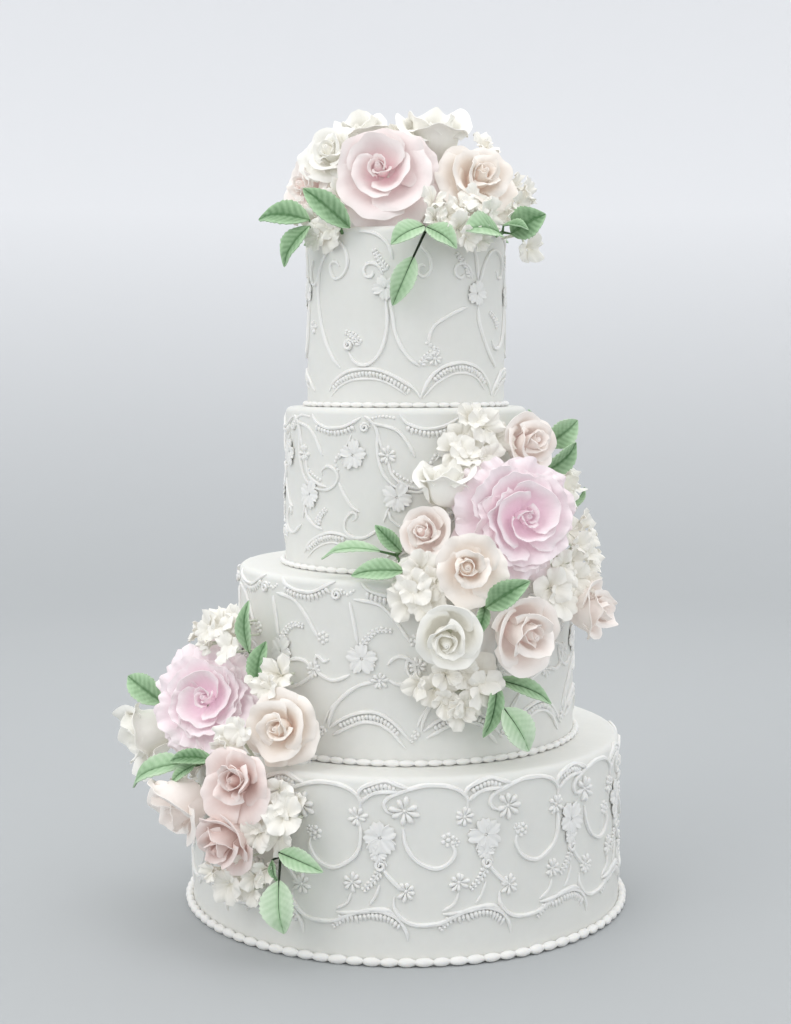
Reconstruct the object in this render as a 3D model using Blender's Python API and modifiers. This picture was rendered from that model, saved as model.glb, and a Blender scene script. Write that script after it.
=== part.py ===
"""Four-tier wedding cake: stacked fondant tiers, a piped pearl border round the foot of each
tier, and three sprays of sugar flowers (on top, at the right of the middle tiers and at the left
of the lower tiers).

Run it with: blender --background --python part.py

Frame: metres, +Z up, origin at the centre of the bottom tier's flat base, front towards -Y.
Every place round the cake is (angle, reach, height): the angle in degrees from the front, growing
towards +X, the distance from the cake's axis and the height above the base, both in millimetres.
"""

import math

import bmesh
import bpy
from mathutils import Vector

MM = 0.001

# ---------------------------------------------------------------- driving dimensions, in mm
GAP = 0.4  # between pieces that rest on each other
EDGE_RADIUS = 5.0  # rounded top edge of the fondant
EDGE_STEPS = 2
TIER_SIDES = 40

# name, radius, height, from the base up
TIERS = (
    ("tier_base", 163.0, 126.0),
    ("tier_lower_middle", 128.5, 128.0),
    ("tier_upper_middle", 93.0, 120.0),
    ("tier_top", 76.0, 133.0),
)
# pearls in the border at each tier's foot, and the border's thickness
BORDERS = (
    ("border_base", 88, 7.0),
    ("border_lower_middle", 82, 5.6),
    ("border_upper_middle", 62, 5.0),
    ("border_top", 52, 4.6),
)
PEARLS_PER_BEAD = 2  # one swelling of the solid stands for two piped pearls
PEARL_NECK = 0.62  # thickness between two pearls, as a share of the pearl's

WIRE_RADIUS = 1.1
WIRE_SIDES = 4
STEM_BEND = 0.4  # where a stem bends, as a share of its flower's distance from the icing

# ---------------------------------------------------------------- colours
IVORY_ICING = (0.80, 0.80, 0.77)
PINK = (0.80, 0.62, 0.68)
BLUSH = (0.78, 0.68, 0.64)
PEACH = (0.80, 0.70, 0.62)
WHITE = (0.82, 0.81, 0.77)
GREEN = (0.33, 0.52, 0.31)

# ---------------------------------------------------------------- flower heads
# A head is a stack of rings from the middle of the face to the stem:
# (share of the half width, share of the width along the facing direction, depth of the lobes)
OPEN_ROSE = (
    (0.16, 0.16, 0.0),
    (0.48, 0.02, 0.06),
    (1.00, 0.10, 0.09),
    (0.86, -0.16, 0.05),
    (0.28, -0.40, 0.0),
)
CUPPED_ROSE = (
    (0.34, 0.32, 0.04),
    (0.82, 0.30, 0.10),
    (1.00, -0.02, 0.05),
    (0.72, -0.36, 0.03),
    (0.24, -0.52, 0.0),
)
PEONY = (
    (0.14, 0.13, 0.0),
    (0.48, 0.02, 0.05),
    (0.80, 0.09, 0.08),
    (1.00, 0.02, 0.08),
    (0.72, -0.17, 0.04),
    (0.22, -0.32, 0.0),
)
# head shapes: rings, number of petals round the rim, sides
SHAPES = {
    "rose": (OPEN_ROSE, 5, 10),
    "cupped": (CUPPED_ROSE, 5, 10),
    "peony": (PEONY, 6, 12),
}

# name, shape, colour, (angle, reach, height) of the head, width, (turn, lift) of its face:
# turn in degrees from the front towards +X, lift in degrees above the horizon
FLOWERS = (
    ("top_peony", "peony", PINK, (-12, 68, 545), 68, (-8, 14)),
    ("top_rose_ivory", "cupped", WHITE, (37, 34, 579), 56, (6, 70)),
    ("top_rose_peach", "rose", PEACH, (45.5, 74, 543), 53, (24, 20)),
    ("top_rose_left", "rose", BLUSH, (-80, 78, 543), 31, (-42, 14)),
    ("top_rose_cream", "rose", WHITE, (-67, 62, 567), 36, (-28, 26)),
    ("top_rose_crown", "cupped", WHITE, (-84, 33, 583), 38, (-24, 64)),
    ("top_rose_back", "rose", BLUSH, (178, 44, 568), 52, (178, 38)),
    ("top_rose_back_right", "rose", WHITE, (117, 68, 538), 45, (117, 20)),
    ("top_rose_back_left", "rose", PEACH, (-128, 68, 538), 45, (-128, 20)),
    ("right_peony", "peony", PINK, (33.3, 147, 298), 81, (17, 4)),
    ("right_rose_high", "cupped", BLUSH, (49, 117, 348), 42, (32, 16)),
    ("right_rose_white", "cupped", WHITE, (12.5, 119, 321), 40, (0, 78)),
    ("right_rose_small", "cupped", BLUSH, (6.5, 122, 287), 33, (-16, 18)),
    ("right_rose_peach", "rose", PEACH, (16, 156, 265), 45, (4, 4)),
    ("right_rose_ivory", "cupped", WHITE, (10.8, 157, 221), 44, (0, -6)),
    ("right_rose_blush", "cupped", BLUSH, (29.8, 159, 221), 48, (32, -8)),
    ("right_rose_side", "cupped", BLUSH, (60, 154, 228), 42, (66, -2)),
    ("right_rose_behind", "rose", WHITE, (76, 126, 317), 33, (74, 20)),
    ("left_peony", "peony", PINK, (-60.5, 169, 161), 72, (-15, 20)),
    ("left_rose_peach", "rose", PEACH, (-32.3, 164, 154), 46, (-22, 10)),
    ("left_rose_white", "cupped", WHITE, (-84, 200, 124), 58, (-70, -14)),
    ("left_rose_mauve", "rose", BLUSH, (-37, 194, 120), 43, (-30, 8)),
    ("left_rose_outer", "cupped", BLUSH, (-57, 190, 92), 49, (-62, -30)),
    ("left_rose_low", "cupped", BLUSH, (-40, 192, 80), 43, (-40, -24)),
)

# ---------------------------------------------------------------- small blossoms, in groups
BLOSSOM_WIDTH = 21.0
BLOSSOM_PETALS = 4
BLOSSOM_CUP = 0.16  # how far the rim stands in front of the middle, as a share of the width
BLOSSOM_BACK = 0.22

# name, the place where the group's wires meet, blossoms: (place, (turn, lift))
BLOSSOMS = (
    ("blossoms_top_left", (-58, 76, 524), (
        ((-57, 82, 513), (-40, -10)),
        ((-44, 73, 530), (-30, 20)),
    )),
    ("blossoms_top_front", (24, 72, 514), (
        ((14, 80, 523), (4, 10)),
        ((28, 83, 522), (20, 14)),
        ((25, 92, 504), (22, -6)),
        ((35, 90, 498), (34, -12)),
    )),
    ("blossoms_top_right", (72, 84, 528), (
        ((69, 96, 535), (60, 18)),
    )),
    ("blossom_top_hanging", (76, 88, 502), (((72, 100, 493), (40, -14)),)),
    ("blossoms_right_high", (31, 98, 349), (
        ((22, 105, 354), (10, 12)),
        ((29, 110, 345), (22, 8)),
        ((31, 108, 361), (28, 22)),
    )),
    ("blossoms_right_side", (86, 118, 275), (
        ((84, 139, 274), (88, 8)),
        ((84, 139, 259), (88, -4)),
    )),
    ("blossoms_right_inner", (3, 128, 262), (
        ((4, 134, 263), (-8, 4)),
        ((9, 135, 247), (0, -8)),
    )),
    ("blossoms_right_low", (17, 133, 178), (
        ((20, 143, 190), (18, -4)),
        ((8, 138, 181), (2, -6)),
        ((15, 138, 165), (12, -14)),
    )),
    ("blossoms_left_high", (-82, 136, 200), (
        ((-80, 160, 202), (-80, 14)),
        ((-74, 146, 206), (-66, 20)),
    )),
    ("blossoms_left_shoulder", (-43, 133, 182), (
        ((-40, 140, 184), (-30, 18)),
    )),
    ("blossoms_left_inner", (-44, 164, 140), (
        ((-42, 182, 148), (-38, 4)),
    )),
    ("blossoms_left_front", (-26, 170, 96), (
        ((-27, 180, 104), (-20, 10)),
        ((-31, 180, 92), (-24, 0)),
        ((-26, 178, 80), (-16, -10)),
    )),
    ("blossoms_left_low", (-36, 168, 56), (
        ((-33, 175, 60), (-24, -10)),
        ((-40, 175, 48), (-36, -16)),
    )),
)

# ---------------------------------------------------------------- leaves, in sprays
LEAF_STATIONS = 4
LEAF_THICKNESS = 1.4
LEAF_FOLD = 0.25  # how far the two halves fold up, as a share of the half width
LEAF_ARCH = 0.10  # how far the middle stands above the straight line from base to tip

# name, the place where the spray's wires meet,
# leaves: (base, tip, width, (turn, lift) of the upper face)
LEAVES = (
    ("leaves_top_left", (-60, 79, 506), (
        ((-64, 87, 510), (-77, 115, 520), 20, (-50, 50)),
        ((-60, 88, 504), (-62, 106, 478), 20, (-52, 20)),
    )),
    ("leaf_top_left_dark", (-38, 80, 507), (
        ((-28, 88, 505), (-48, 102, 535), 20, (-22, 26)),
    )),
    ("leaves_top_front", (10, 81, 503), (
        ((7.9, 91, 505), (-6.5, 99, 492), 20, (0, 40)),
        ((8.8, 92, 504), (20.2, 104, 489), 20, (14, 36)),
        ((3.2, 88, 483), (-6.5, 89, 448), 18, (2, 10)),
    )),
    ("leaves_top_right", (62, 82, 505), (
        ((46, 95, 502), (24.6, 101, 503), 28, (30, 42)),
        ((49.5, 94, 508), (53, 112, 505), 15, (40, 50)),
        ((58, 92, 503), (61.5, 117, 517), 27, (40, 30)),
    )),
    ("leaves_top_back_left", (-150, 80, 505), (
        ((-144, 90, 508), (-132, 112, 506), 19, (-140, 50)),
        ((-156, 90, 506), (-164, 106, 480), 19, (-158, 20)),
    )),
    ("leaves_top_back_right", (150, 80, 505), (
        ((144, 90, 508), (131, 112, 508), 19, (140, 50)),
        ((156, 90, 506), (163, 104, 478), 19, (158, 20)),
    )),
    ("leaves_right_left", (-4, 105, 270), (
        ((-9, 119, 274), (-31, 119, 269), 14, (-12, 62)),
        ((-2, 118, 274), (-11, 117, 292), 12, (-14, 20)),
        ((-1, 132, 262), (-17, 133, 259), 17, (-8, 34)),
    )),
    ("leaves_right_high", (64, 98, 352), (
        ((66, 116, 352), (74, 128, 365), 15, (70, 20)),
        ((72, 112, 336), (78, 128, 347), 18, (74, 10)),
    )),
    ("leaf_right_side", (94, 108, 300), (
        ((94, 128, 296), (92, 140, 310), 12, (92, 10)),
    )),
    ("leaves_right_middle", (22, 134, 238), (
        ((22, 148, 238), (28, 170, 256), 13, (10, 20)),
        ((22, 146, 234), (20, 157, 221), 8, (20, 0)),
    )),
    ("leaves_right_low", (26, 132, 184), (
        ((26, 143, 186), (41, 156, 168), 14, (26, 34)),
        ((25, 147, 184), (21, 149, 148), 14, (28, 0)),
        ((26, 152, 168), (32, 160, 138), 24, (26, 4)),
    )),
    ("leaves_left_high", (-55, 132, 186), (
        ((-49, 149, 200), (-48, 153, 237), 15, (-38, 10)),
        ((-46, 148, 177), (-45, 143, 208), 18, (-32, 8)),
    )),
    ("leaf_left_back", (-76, 146, 148), (
        ((-79, 186, 151), (-86, 214, 168), 21, (-60, 36)),
    )),
    ("leaf_left_middle", (-66, 168, 112), (
        ((-65, 183, 112), (-74, 213, 96), 15, (-60, 50)),
        ((-50, 178, 127), (-60, 196, 123), 8, (-46, 40)),
    )),
    ("leaves_left_low", (-30, 173, 70), (
        ((-28, 184, 76), (-18, 184, 67), 15, (-20, 30)),
        ((-28, 184, 57), (-26, 190, 24), 27, (-22, 4)),
        ((-31, 178, 68), (-29, 180, 54), 8, (-50, 0)),
    )),
)


# ---------------------------------------------------------------- places and directions
def place(angle, reach, height):
    """A point, in mm, from its angle round the cake, distance from the axis and height."""
    a = math.radians(angle)
    return Vector((reach * math.sin(a), -reach * math.cos(a), height))


def facing(turn, lift):
    """A unit vector from a turn round the cake and a lift above the horizon."""
    t = math.radians(turn)
    up = math.radians(lift)
    return Vector((math.sin(t) * math.cos(up), -math.cos(t) * math.cos(up), math.sin(up)))


def tier_levels():
    """(name, radius, foot height, top height) of each tier, in mm."""
    foot = 0.0
    for name, radius, height in TIERS:
        yield name, radius, foot, foot + height
        foot += height


def nearest_icing(point):
    """The place on the cake's icing where a wire from this point goes in."""
    reach = math.hypot(point.x, point.y)
    outward = Vector((point.x, point.y, 0.0)).normalized()
    found = []
    for _, radius, foot, top in tier_levels():
        ledge = min(reach, radius - EDGE_RADIUS - 4.0)
        if point.z > top:
            spot = outward * ledge + Vector((0.0, 0.0, top + GAP))
            found.append(((point - spot).length, spot))
        elif point.z > foot + 9.0:
            height = min(point.z, top - EDGE_RADIUS)
            spot = outward * (radius + GAP) + Vector((0.0, 0.0, height))
            found.append(((point - spot).length, spot))
    return min(found, key=lambda pair: pair[0])[1]


# ---------------------------------------------------------------- building blocks
def material(name, colour, roughness=0.6):
    """A Principled BSDF material of one colour, made once."""
    made = bpy.data.materials.get(name)
    if made is None:
        made = bpy.data.materials.new(name)
        made.use_nodes = True
        shader = made.node_tree.nodes["Principled BSDF"]
        shader.inputs["Base Color"].default_value = (*colour, 1.0)
        shader.inputs["Roughness"].default_value = roughness
    return made


def add_object(name, bm, look, collection):
    """Turns a bmesh in millimetres into an object in metres."""
    bmesh.ops.triangulate(bm, faces=bm.faces)
    bmesh.ops.recalc_face_normals(bm, faces=bm.faces)
    bmesh.ops.scale(bm, vec=(MM, MM, MM), verts=bm.verts)
    mesh = bpy.data.meshes.new(name)
    bm.to_mesh(mesh)
    bm.free()
    mesh.materials.append(look)
    obj = bpy.data.objects.new(name, mesh)
    collection.objects.link(obj)
    return obj


def loft(bm, rings, first_tip, last_tip):
    """Joins rings of equal point count, closed to a point at each end."""
    made = [[bm.verts.new(point) for point in ring] for ring in rings]
    for near, far in zip(made, made[1:]):
        for i, vert in enumerate(near):
            j = (i + 1) % len(near)
            bm.faces.new((vert, near[j], far[j], far[i]))
    for ring, tip in ((made[0], first_tip), (made[-1], last_tip)):
        point = bm.verts.new(tip)
        for i, vert in enumerate(ring):
            bm.faces.new((vert, ring[(i + 1) % len(ring)], point))


def across(direction):
    """Two unit vectors square to a direction, the second one as upright as it can be."""
    side = direction.cross(Vector((0.0, 0.0, 1.0)))
    side = side.normalized() if side.length > 0.05 else Vector((1.0, 0.0, 0.0))
    return side, side.cross(direction).normalized()


def ring_round(centre, direction, radius, sides, lobes=0, lobe_depth=0.0):
    """Points round a centre, square to a direction, with the radius waved for petals."""
    side, upright = across(direction)
    points = []
    for i in range(sides):
        a = math.tau * i / sides
        waved = radius * (1.0 + lobe_depth * math.cos(lobes * a))
        points.append(centre + side * (waved * math.cos(a)) + upright * (waved * math.sin(a)))
    return points


def union(target, others):
    """Joins closed helper objects to the target, which stays one body.

    The wires of a group all meet in one point, where the EXACT solver loses some of them.
    """
    for other in others:
        other.hide_render = True
        other.display_type = "WIRE"
        join = target.modifiers.new("join_" + other.name, "BOOLEAN")
        join.operation = "UNION"
        join.solver = "MANIFOLD"
        join.object = other


# ---------------------------------------------------------------- the cake
def build_tier(name, radius, foot, top, collection):
    """A fondant-covered tier: a profile with a rounded top edge, turned about Z."""
    foot += GAP if foot > 0.0 else 0.0
    points = [(0.0, top)]
    for i in range(EDGE_STEPS + 1):
        a = math.pi / 2 * (1.0 - i / EDGE_STEPS)
        inset = EDGE_RADIUS * (1.0 - math.cos(a))
        points.append((radius - inset, top - EDGE_RADIUS * (1.0 - math.sin(a))))
    points += [(radius, foot), (0.0, foot)]
    mesh = bpy.data.meshes.new(name)
    verts = [(x * MM, 0.0, z * MM) for x, z in points]
    mesh.from_pydata(verts, [(i, i + 1) for i in range(len(verts) - 1)], [])
    mesh.materials.append(material("fondant", IVORY_ICING, 0.55))
    obj = bpy.data.objects.new(name, mesh)
    collection.objects.link(obj)
    turn = obj.modifiers.new("turn", "SCREW")
    turn.steps = TIER_SIDES
    turn.render_steps = TIER_SIDES
    turn.use_merge_vertices = True
    turn.merge_threshold = 0.00005


def build_border(name, pearls, thickness, radius, foot, collection):
    """A beaded ring: a torus whose section swells and narrows once for every two pearls."""
    beads = pearls // PEARLS_PER_BEAD
    minor = thickness / 2
    major = radius + GAP + minor
    bpy.ops.mesh.primitive_torus_add(
        major_segments=2 * beads,
        minor_segments=3,
        major_radius=major,
        minor_radius=minor,
        location=(0.0, 0.0, 0.0),
    )
    torus = bpy.context.object
    bm = bmesh.new()
    bm.from_mesh(torus.data)
    bpy.data.objects.remove(torus)
    for vert in bm.verts:
        angle = math.atan2(vert.co.y, vert.co.x)
        step = round(angle / math.pi * beads)
        swell = 1.0 if step % 2 == 0 else PEARL_NECK
        reach = math.hypot(vert.co.x, vert.co.y) - major
        section = Vector((reach, vert.co.z)) * swell
        grown = Vector((vert.co.x, vert.co.y, 0.0)).normalized() * (major + section.x)
        vert.co = grown + Vector((0.0, 0.0, section.y))
    lowest = min(vert.co.z for vert in bm.verts)
    lift = foot + GAP - lowest
    bmesh.ops.translate(bm, vec=(0.0, 0.0, lift), verts=bm.verts)
    add_object(name, bm, material("royal_icing", IVORY_ICING, 0.5), collection)


# ---------------------------------------------------------------- the sugar flowers
def stem_path(start, direction):
    """The middle and the end of a stem that leaves a flower straight and bends to the icing."""
    distance = (start - nearest_icing(start)).length
    bend = start - direction * (STEM_BEND * distance)
    end = nearest_icing(bend)
    middle = (start + 2.0 * bend + end) / 4.0
    return middle, end


def build_flower(name, shape, colour, where, width, face, collection):
    """A flower head of lobed rings that narrows to a stem, which ends on the icing."""
    rings, petals, sides = SHAPES[shape]
    centre = place(*where)
    direction = facing(*face)
    sections = []
    for share, forward, lobe_depth in rings:
        middle = centre + direction * (width * forward)
        sections.append(ring_round(middle, direction, width / 2 * share, sides, petals, lobe_depth))
    calyx = centre + direction * (width * rings[-1][1])
    middle, end = stem_path(calyx, direction)
    along = (calyx - end).normalized()
    sections.append(ring_round(middle, along, 2.0 * WIRE_RADIUS, sides))
    tip = centre + direction * (width * (rings[0][1] + 0.03))
    bm = bmesh.new()
    loft(bm, sections, tip, end)
    add_object(name, bm, material("sugar_" + name, colour), collection)


def blossom_mesh(bm, where, face, joint):
    """A small four-petalled cup on a wire that runs back to the joint of its group."""
    centre = place(*where)
    direction = facing(*face)
    half = BLOSSOM_WIDTH / 2
    sides = 2 * BLOSSOM_PETALS
    rim = ring_round(
        centre + direction * (BLOSSOM_WIDTH * BLOSSOM_CUP), direction, half * 0.8, sides,
        BLOSSOM_PETALS, 0.22,
    )
    calyx_middle = centre - direction * (BLOSSOM_WIDTH * BLOSSOM_BACK)
    calyx = ring_round(calyx_middle, direction, 2.0 * WIRE_RADIUS, sides)
    loft(bm, [rim, calyx], centre, joint)


def build_blossoms(name, joint_place, blossoms, collection, helpers):
    """A group of small blossoms whose wires meet and go into the icing together."""
    joint = place(*joint_place)
    root = nearest_icing(joint)
    built = []
    for number, (where, face) in enumerate(blossoms):
        bm = bmesh.new()
        centre = place(*where)
        back = centre - facing(*face) * (BLOSSOM_WIDTH * BLOSSOM_BACK)
        towards = (joint - back).normalized()
        blossom_mesh(bm, where, face, joint + towards * WIRE_RADIUS)
        target = collection if number == 0 else helpers
        label = name if number == 0 else f"{name}_{number}"
        built.append(add_object(label, bm, material("sugar_blossom", WHITE), target))
    built.append(build_wire(name + "_wire", joint, root, helpers))
    union(built[0], built[1:])


def build_wire(name, start, end, collection):
    """A wire from a taped joint to the icing, thick where it is taped and pointed at its end."""
    along = (end - start).normalized()
    over = start - along * (2.0 * WIRE_RADIUS)
    rings = [
        ring_round(start, along, 2.2 * WIRE_RADIUS, WIRE_SIDES),
        ring_round(start.lerp(end, 0.6), along, WIRE_RADIUS, WIRE_SIDES),
    ]
    bm = bmesh.new()
    loft(bm, rings, over, end)
    return add_object(name, bm, material("wire", GREEN), collection)


def leaf_outline(t):
    """Half width of a leaf at the share t from base to tip, as a share of its half width."""
    return math.sin(math.pi * t ** 0.85) ** 0.8


def leaf_mesh(bm, base, tip, width, face, joint):
    """A folded, arched leaf whose four-sided section grows out of its wire."""
    along = tip - base
    length = along.length
    upper = facing(*face)
    side = along.cross(upper).normalized()
    normal = side.cross(along).normalized()
    way = (base - joint).normalized()
    rings = [[joint + offset * WIRE_RADIUS for offset in square_round(way, side)]]
    rings.append([base + offset * WIRE_RADIUS for offset in square_round(along.normalized(), side)])
    for i in range(1, LEAF_STATIONS):
        t = i / LEAF_STATIONS
        half = width / 2 * leaf_outline(t)
        spine = base + along * t + normal * (LEAF_ARCH * length * math.sin(math.pi * t))
        fold = normal * (LEAF_FOLD * half)
        thick = normal * (LEAF_THICKNESS / 2)
        rings.append([spine + side * half + fold, spine + thick, spine - side * half + fold, spine - thick])
    loft(bm, rings, joint - way * (1.5 * WIRE_RADIUS), tip)


def square_round(direction, side):
    """Four unit offsets round a direction, starting at the given side."""
    over = side.cross(direction).normalized()
    across_side = direction.cross(over).normalized()
    return (across_side, over, -across_side, -over)


def build_leaves(name, joint_place, leaves, collection, helpers):
    """A spray of leaves whose wires meet and go into the icing together."""
    joint = place(*joint_place)
    built = []
    for number, (base, tip, width, face) in enumerate(leaves):
        bm = bmesh.new()
        leaf_mesh(bm, place(*base), place(*tip), width, face, joint)
        target = collection if number == 0 else helpers
        label = name if number == 0 else f"{name}_{number}"
        built.append(add_object(label, bm, material("leaf_green", GREEN), target))
    built.append(build_wire(name + "_wire", joint, nearest_icing(joint), helpers))
    union(built[0], built[1:])


# ---------------------------------------------------------------- the whole cake
def main():
    """Clears the scene and builds every piece."""
    for obj in list(bpy.data.objects):
        bpy.data.objects.remove(obj)
    cake = bpy.data.collections.new("wedding_cake")
    helpers = bpy.data.collections.new("helpers")
    bpy.context.scene.collection.children.link(cake)
    bpy.context.scene.collection.children.link(helpers)
    for (name, radius, foot, top), (border, pearls, thickness) in zip(tier_levels(), BORDERS):
        build_tier(name, radius, foot, top, cake)
        build_border(border, pearls, thickness, radius, foot, cake)
    for flower in FLOWERS:
        build_flower(*flower, cake)
    for group in BLOSSOMS:
        build_blossoms(*group, cake, helpers)
    for spray in LEAVES:
        build_leaves(*spray, cake, helpers)


main()
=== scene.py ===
"""Looks of a four-tier wedding cake in ivory fondant, with piped scrollwork and sprays of sugar flowers.

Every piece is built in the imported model's own frame. Sizes in the tables and dataclasses are in
millimetres, or in shares of a flower's radius, and MM turns them into metres when a mesh is written.
"""

import logging
import math
from dataclasses import dataclass
from enum import Enum
from typing import Callable

import bpy
import numpy as np
from bpy.types import Material, Mesh, Node, NodeSocket, Object
from mathutils import Matrix, Vector


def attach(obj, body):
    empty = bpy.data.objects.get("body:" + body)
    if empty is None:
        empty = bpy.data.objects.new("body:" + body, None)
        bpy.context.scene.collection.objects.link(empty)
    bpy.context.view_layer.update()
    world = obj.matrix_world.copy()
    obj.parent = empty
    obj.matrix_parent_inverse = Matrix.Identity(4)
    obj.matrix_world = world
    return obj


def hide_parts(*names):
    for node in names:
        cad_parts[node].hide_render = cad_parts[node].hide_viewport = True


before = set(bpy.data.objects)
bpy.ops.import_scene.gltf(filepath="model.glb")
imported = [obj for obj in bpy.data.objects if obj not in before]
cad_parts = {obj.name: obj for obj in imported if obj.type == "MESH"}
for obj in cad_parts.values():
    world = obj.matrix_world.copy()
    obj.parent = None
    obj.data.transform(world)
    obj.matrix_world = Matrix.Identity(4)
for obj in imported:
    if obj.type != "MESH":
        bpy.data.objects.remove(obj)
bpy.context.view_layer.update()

LOG = logging.getLogger("tiered_wedding_cake")
MM = 0.001

# A tier's rounded top edge, and the steps in which its top and wall are cut up.
EDGE_RADIUS = 5.0
EDGE_SEGMENTS = 6
TOP_INSETS = (6.0, 12.0)
WALL_STEPS = 8

# How far a wire ends off the icing, in from a ledge's edge and above a tier's foot.
GAP = 0.4
LEDGE_MARGIN = 4.0
FOOT_MARGIN = 9.0

# How thick each paste is rolled, and the degrees from which an edge stays sharp.
ROLLED = 0.5
LEAF_ROLLED = 0.8
CUTOUT_ROLLED = 0.9
SOFT_EDGE = 60.0
SPINE_SHARES = (0.88, 0.7, 0.5, 0.3, 0.12)

# For each tier from the base up.
PEARLS = (88, 82, 62, 52)
PEARL_WIDTHS = (5.9, 4.6, 4.2, 3.9)
PATTERN_REPEATS = (7, 6, 4, 2)
LINE_RADII = (1.6, 1.45, 1.3, 1.45)

# The values that petals and leaves carry at each point, for their finishes.
TONE = "petal_tone"
GRAIN = "petal_grain"

Rgba = tuple[float, float, float, float]
Pair = tuple[float, float]
Triple = tuple[float, float, float]
Strand = tuple[np.ndarray, np.ndarray]  # a tube's centre line and its radii
Spot = tuple[float, float, float, float, float]  # a blossom's angle, reach, height, turn and lift
Plate = tuple[float, float, float, float]  # a cut-out's place along and up, its radius and its turn
Route = list[tuple[Vector, float]]  # a wire's points in mm and its radius at each
Grid = Callable[[np.ndarray, np.ndarray], tuple[np.ndarray, np.ndarray]]


# ------------------------------------------------------------------ small tools
def linear(red: float, green: float, blue: float) -> Rgba:
    """Turns a colour read as 0 to 255 into the renderer's linear values.

    Args:
        red: Red from 0 to 255.
        green: Green from 0 to 255.
        blue: Blue from 0 to 255.

    Returns:
        Linear red, green, blue and an alpha of 1.
    """
    found = []
    for value in (red, green, blue):
        share = value / 255.0
        found.append(share / 12.92 if share <= 0.04045 else ((share + 0.055) / 1.055) ** 2.4)
    return (found[0], found[1], found[2], 1.0)


def ease(value: np.ndarray | float) -> np.ndarray:
    """Goes smoothly from 0 to 1 while the value does, and stays there outside."""
    share = np.clip(value, 0.0, 1.0)
    return share * share * (3.0 - 2.0 * share)


def deselect_all() -> None:
    """Leaves edit mode and deselects every object."""
    active = bpy.context.view_layer.objects.active
    if active is not None and active.mode != "OBJECT":
        bpy.ops.object.mode_set(mode="OBJECT")
    bpy.ops.object.select_all(action="DESELECT")


def pick(*objects: Object) -> None:
    """Selects only these objects and makes the first one active."""
    deselect_all()
    for obj in objects:
        obj.select_set(True)
    bpy.context.view_layer.objects.active = objects[0]


def show(obj: Object) -> Object:
    """Puts a new object in the scene."""
    bpy.context.scene.collection.objects.link(obj)
    return obj


def added(name: str) -> Object:
    """Names the object that was just added."""
    obj = bpy.context.active_object
    obj.name = name
    return obj


def join(objects: list[Object], name: str) -> Object:
    """Joins objects into one.

    Args:
        objects: What is joined; the first one stays.
        name: The joined object's name.

    Returns:
        The joined object.
    """
    pick(*objects)
    if len(objects) > 1:
        bpy.ops.object.join()
    joined = bpy.context.view_layer.objects.active
    joined.name = name
    joined.data.name = name
    return joined


def apply_modifiers(obj: Object) -> None:
    """Applies every modifier of an object, in order."""
    pick(obj)
    for modifier in list(obj.modifiers):
        bpy.ops.object.modifier_apply(modifier=modifier.name)


def thicken(obj: Object, thickness: float) -> None:
    """Gives a thin sheet its thickness, half to each side.

    Args:
        obj: The object whose mesh is an open sheet.
        thickness: The sheet's thickness in mm.
    """
    wall = obj.modifiers.new("wall", "SOLIDIFY")
    wall.thickness = thickness * MM
    wall.offset = 0.0
    wall.use_rim = True
    apply_modifiers(obj)


def read_points(mesh: Mesh) -> np.ndarray:
    """A mesh's points as rows of x, y and z."""
    points = np.empty(len(mesh.vertices) * 3)
    mesh.vertices.foreach_get("co", points)
    return points.reshape(-1, 3)


def write_points(mesh: Mesh, points: np.ndarray) -> None:
    """Moves a mesh's points to these rows of x, y and z."""
    mesh.vertices.foreach_set("co", points.ravel())
    mesh.update()


def dress(obj: Object, finish: Material, angle: float) -> None:
    """Shades a piece smooth and gives it its one finish.

    Args:
        obj: The piece.
        finish: Its finish.
        angle: The angle in degrees from which an edge stays sharp.
    """
    pick(obj)
    bpy.ops.object.shade_smooth_by_angle(angle=math.radians(angle))
    obj.data.materials.clear()
    obj.data.materials.append(finish)


def dice_for(name: str, weight: int) -> np.random.Generator:
    """A source of unevenness that is always the same for a name."""
    return np.random.default_rng(sum(ord(letter) * weight for letter in name))


def tube_piece(name: str, depth: float, rings: int, strands: list[Strand]) -> Object:
    """Makes one mesh of round closed tubes.

    Args:
        name: The mesh object's name.
        depth: The tube's radius where a strand's own radius is 1.
        rings: How finely the tube is rounded.
        strands: Rows of x, y and z along each tube, with their radii.

    Returns:
        The mesh object.
    """
    data = bpy.data.curves.new(name, "CURVE")
    data.dimensions = "3D"
    data.bevel_depth = depth
    data.bevel_resolution = rings
    data.use_fill_caps = True
    for path, radii in strands:
        spline = data.splines.new("POLY")
        spline.points.add(len(path) - 1)
        rows = np.column_stack([path, np.ones(len(path))]).astype(np.float32)
        spline.points.foreach_set("co", rows.ravel())
        spline.points.foreach_set("radius", np.asarray(radii).astype(np.float32))
    pick(show(bpy.data.objects.new(name, data)))
    bpy.ops.object.convert(target="MESH")
    return bpy.context.view_layer.objects.active


def turn_faces_out(obj: Object) -> None:
    """Points every face outwards."""
    pick(obj)
    bpy.ops.object.mode_set(mode="EDIT")
    bpy.ops.mesh.select_all(action="SELECT")
    bpy.ops.mesh.normals_make_consistent(inside=False)
    bpy.ops.object.mode_set(mode="OBJECT")


def place(angle: float, reach: float, height: float) -> Vector:
    """A point in mm.

    Args:
        angle: Degrees round the cake from the front towards +X.
        reach: Distance from the cake's axis in mm.
        height: Height above the base in mm.

    Returns:
        The point in mm.
    """
    a = math.radians(angle)
    return Vector((reach * math.sin(a), -reach * math.cos(a), height))


def facing(turn: float, lift: float) -> Vector:
    """A unit vector.

    Args:
        turn: Degrees round the cake from the front towards +X.
        lift: Degrees above the horizon.

    Returns:
        The direction.
    """
    t = math.radians(turn)
    up = math.radians(lift)
    return Vector((math.sin(t) * math.cos(up), -math.cos(t) * math.cos(up), math.sin(up)))


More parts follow.
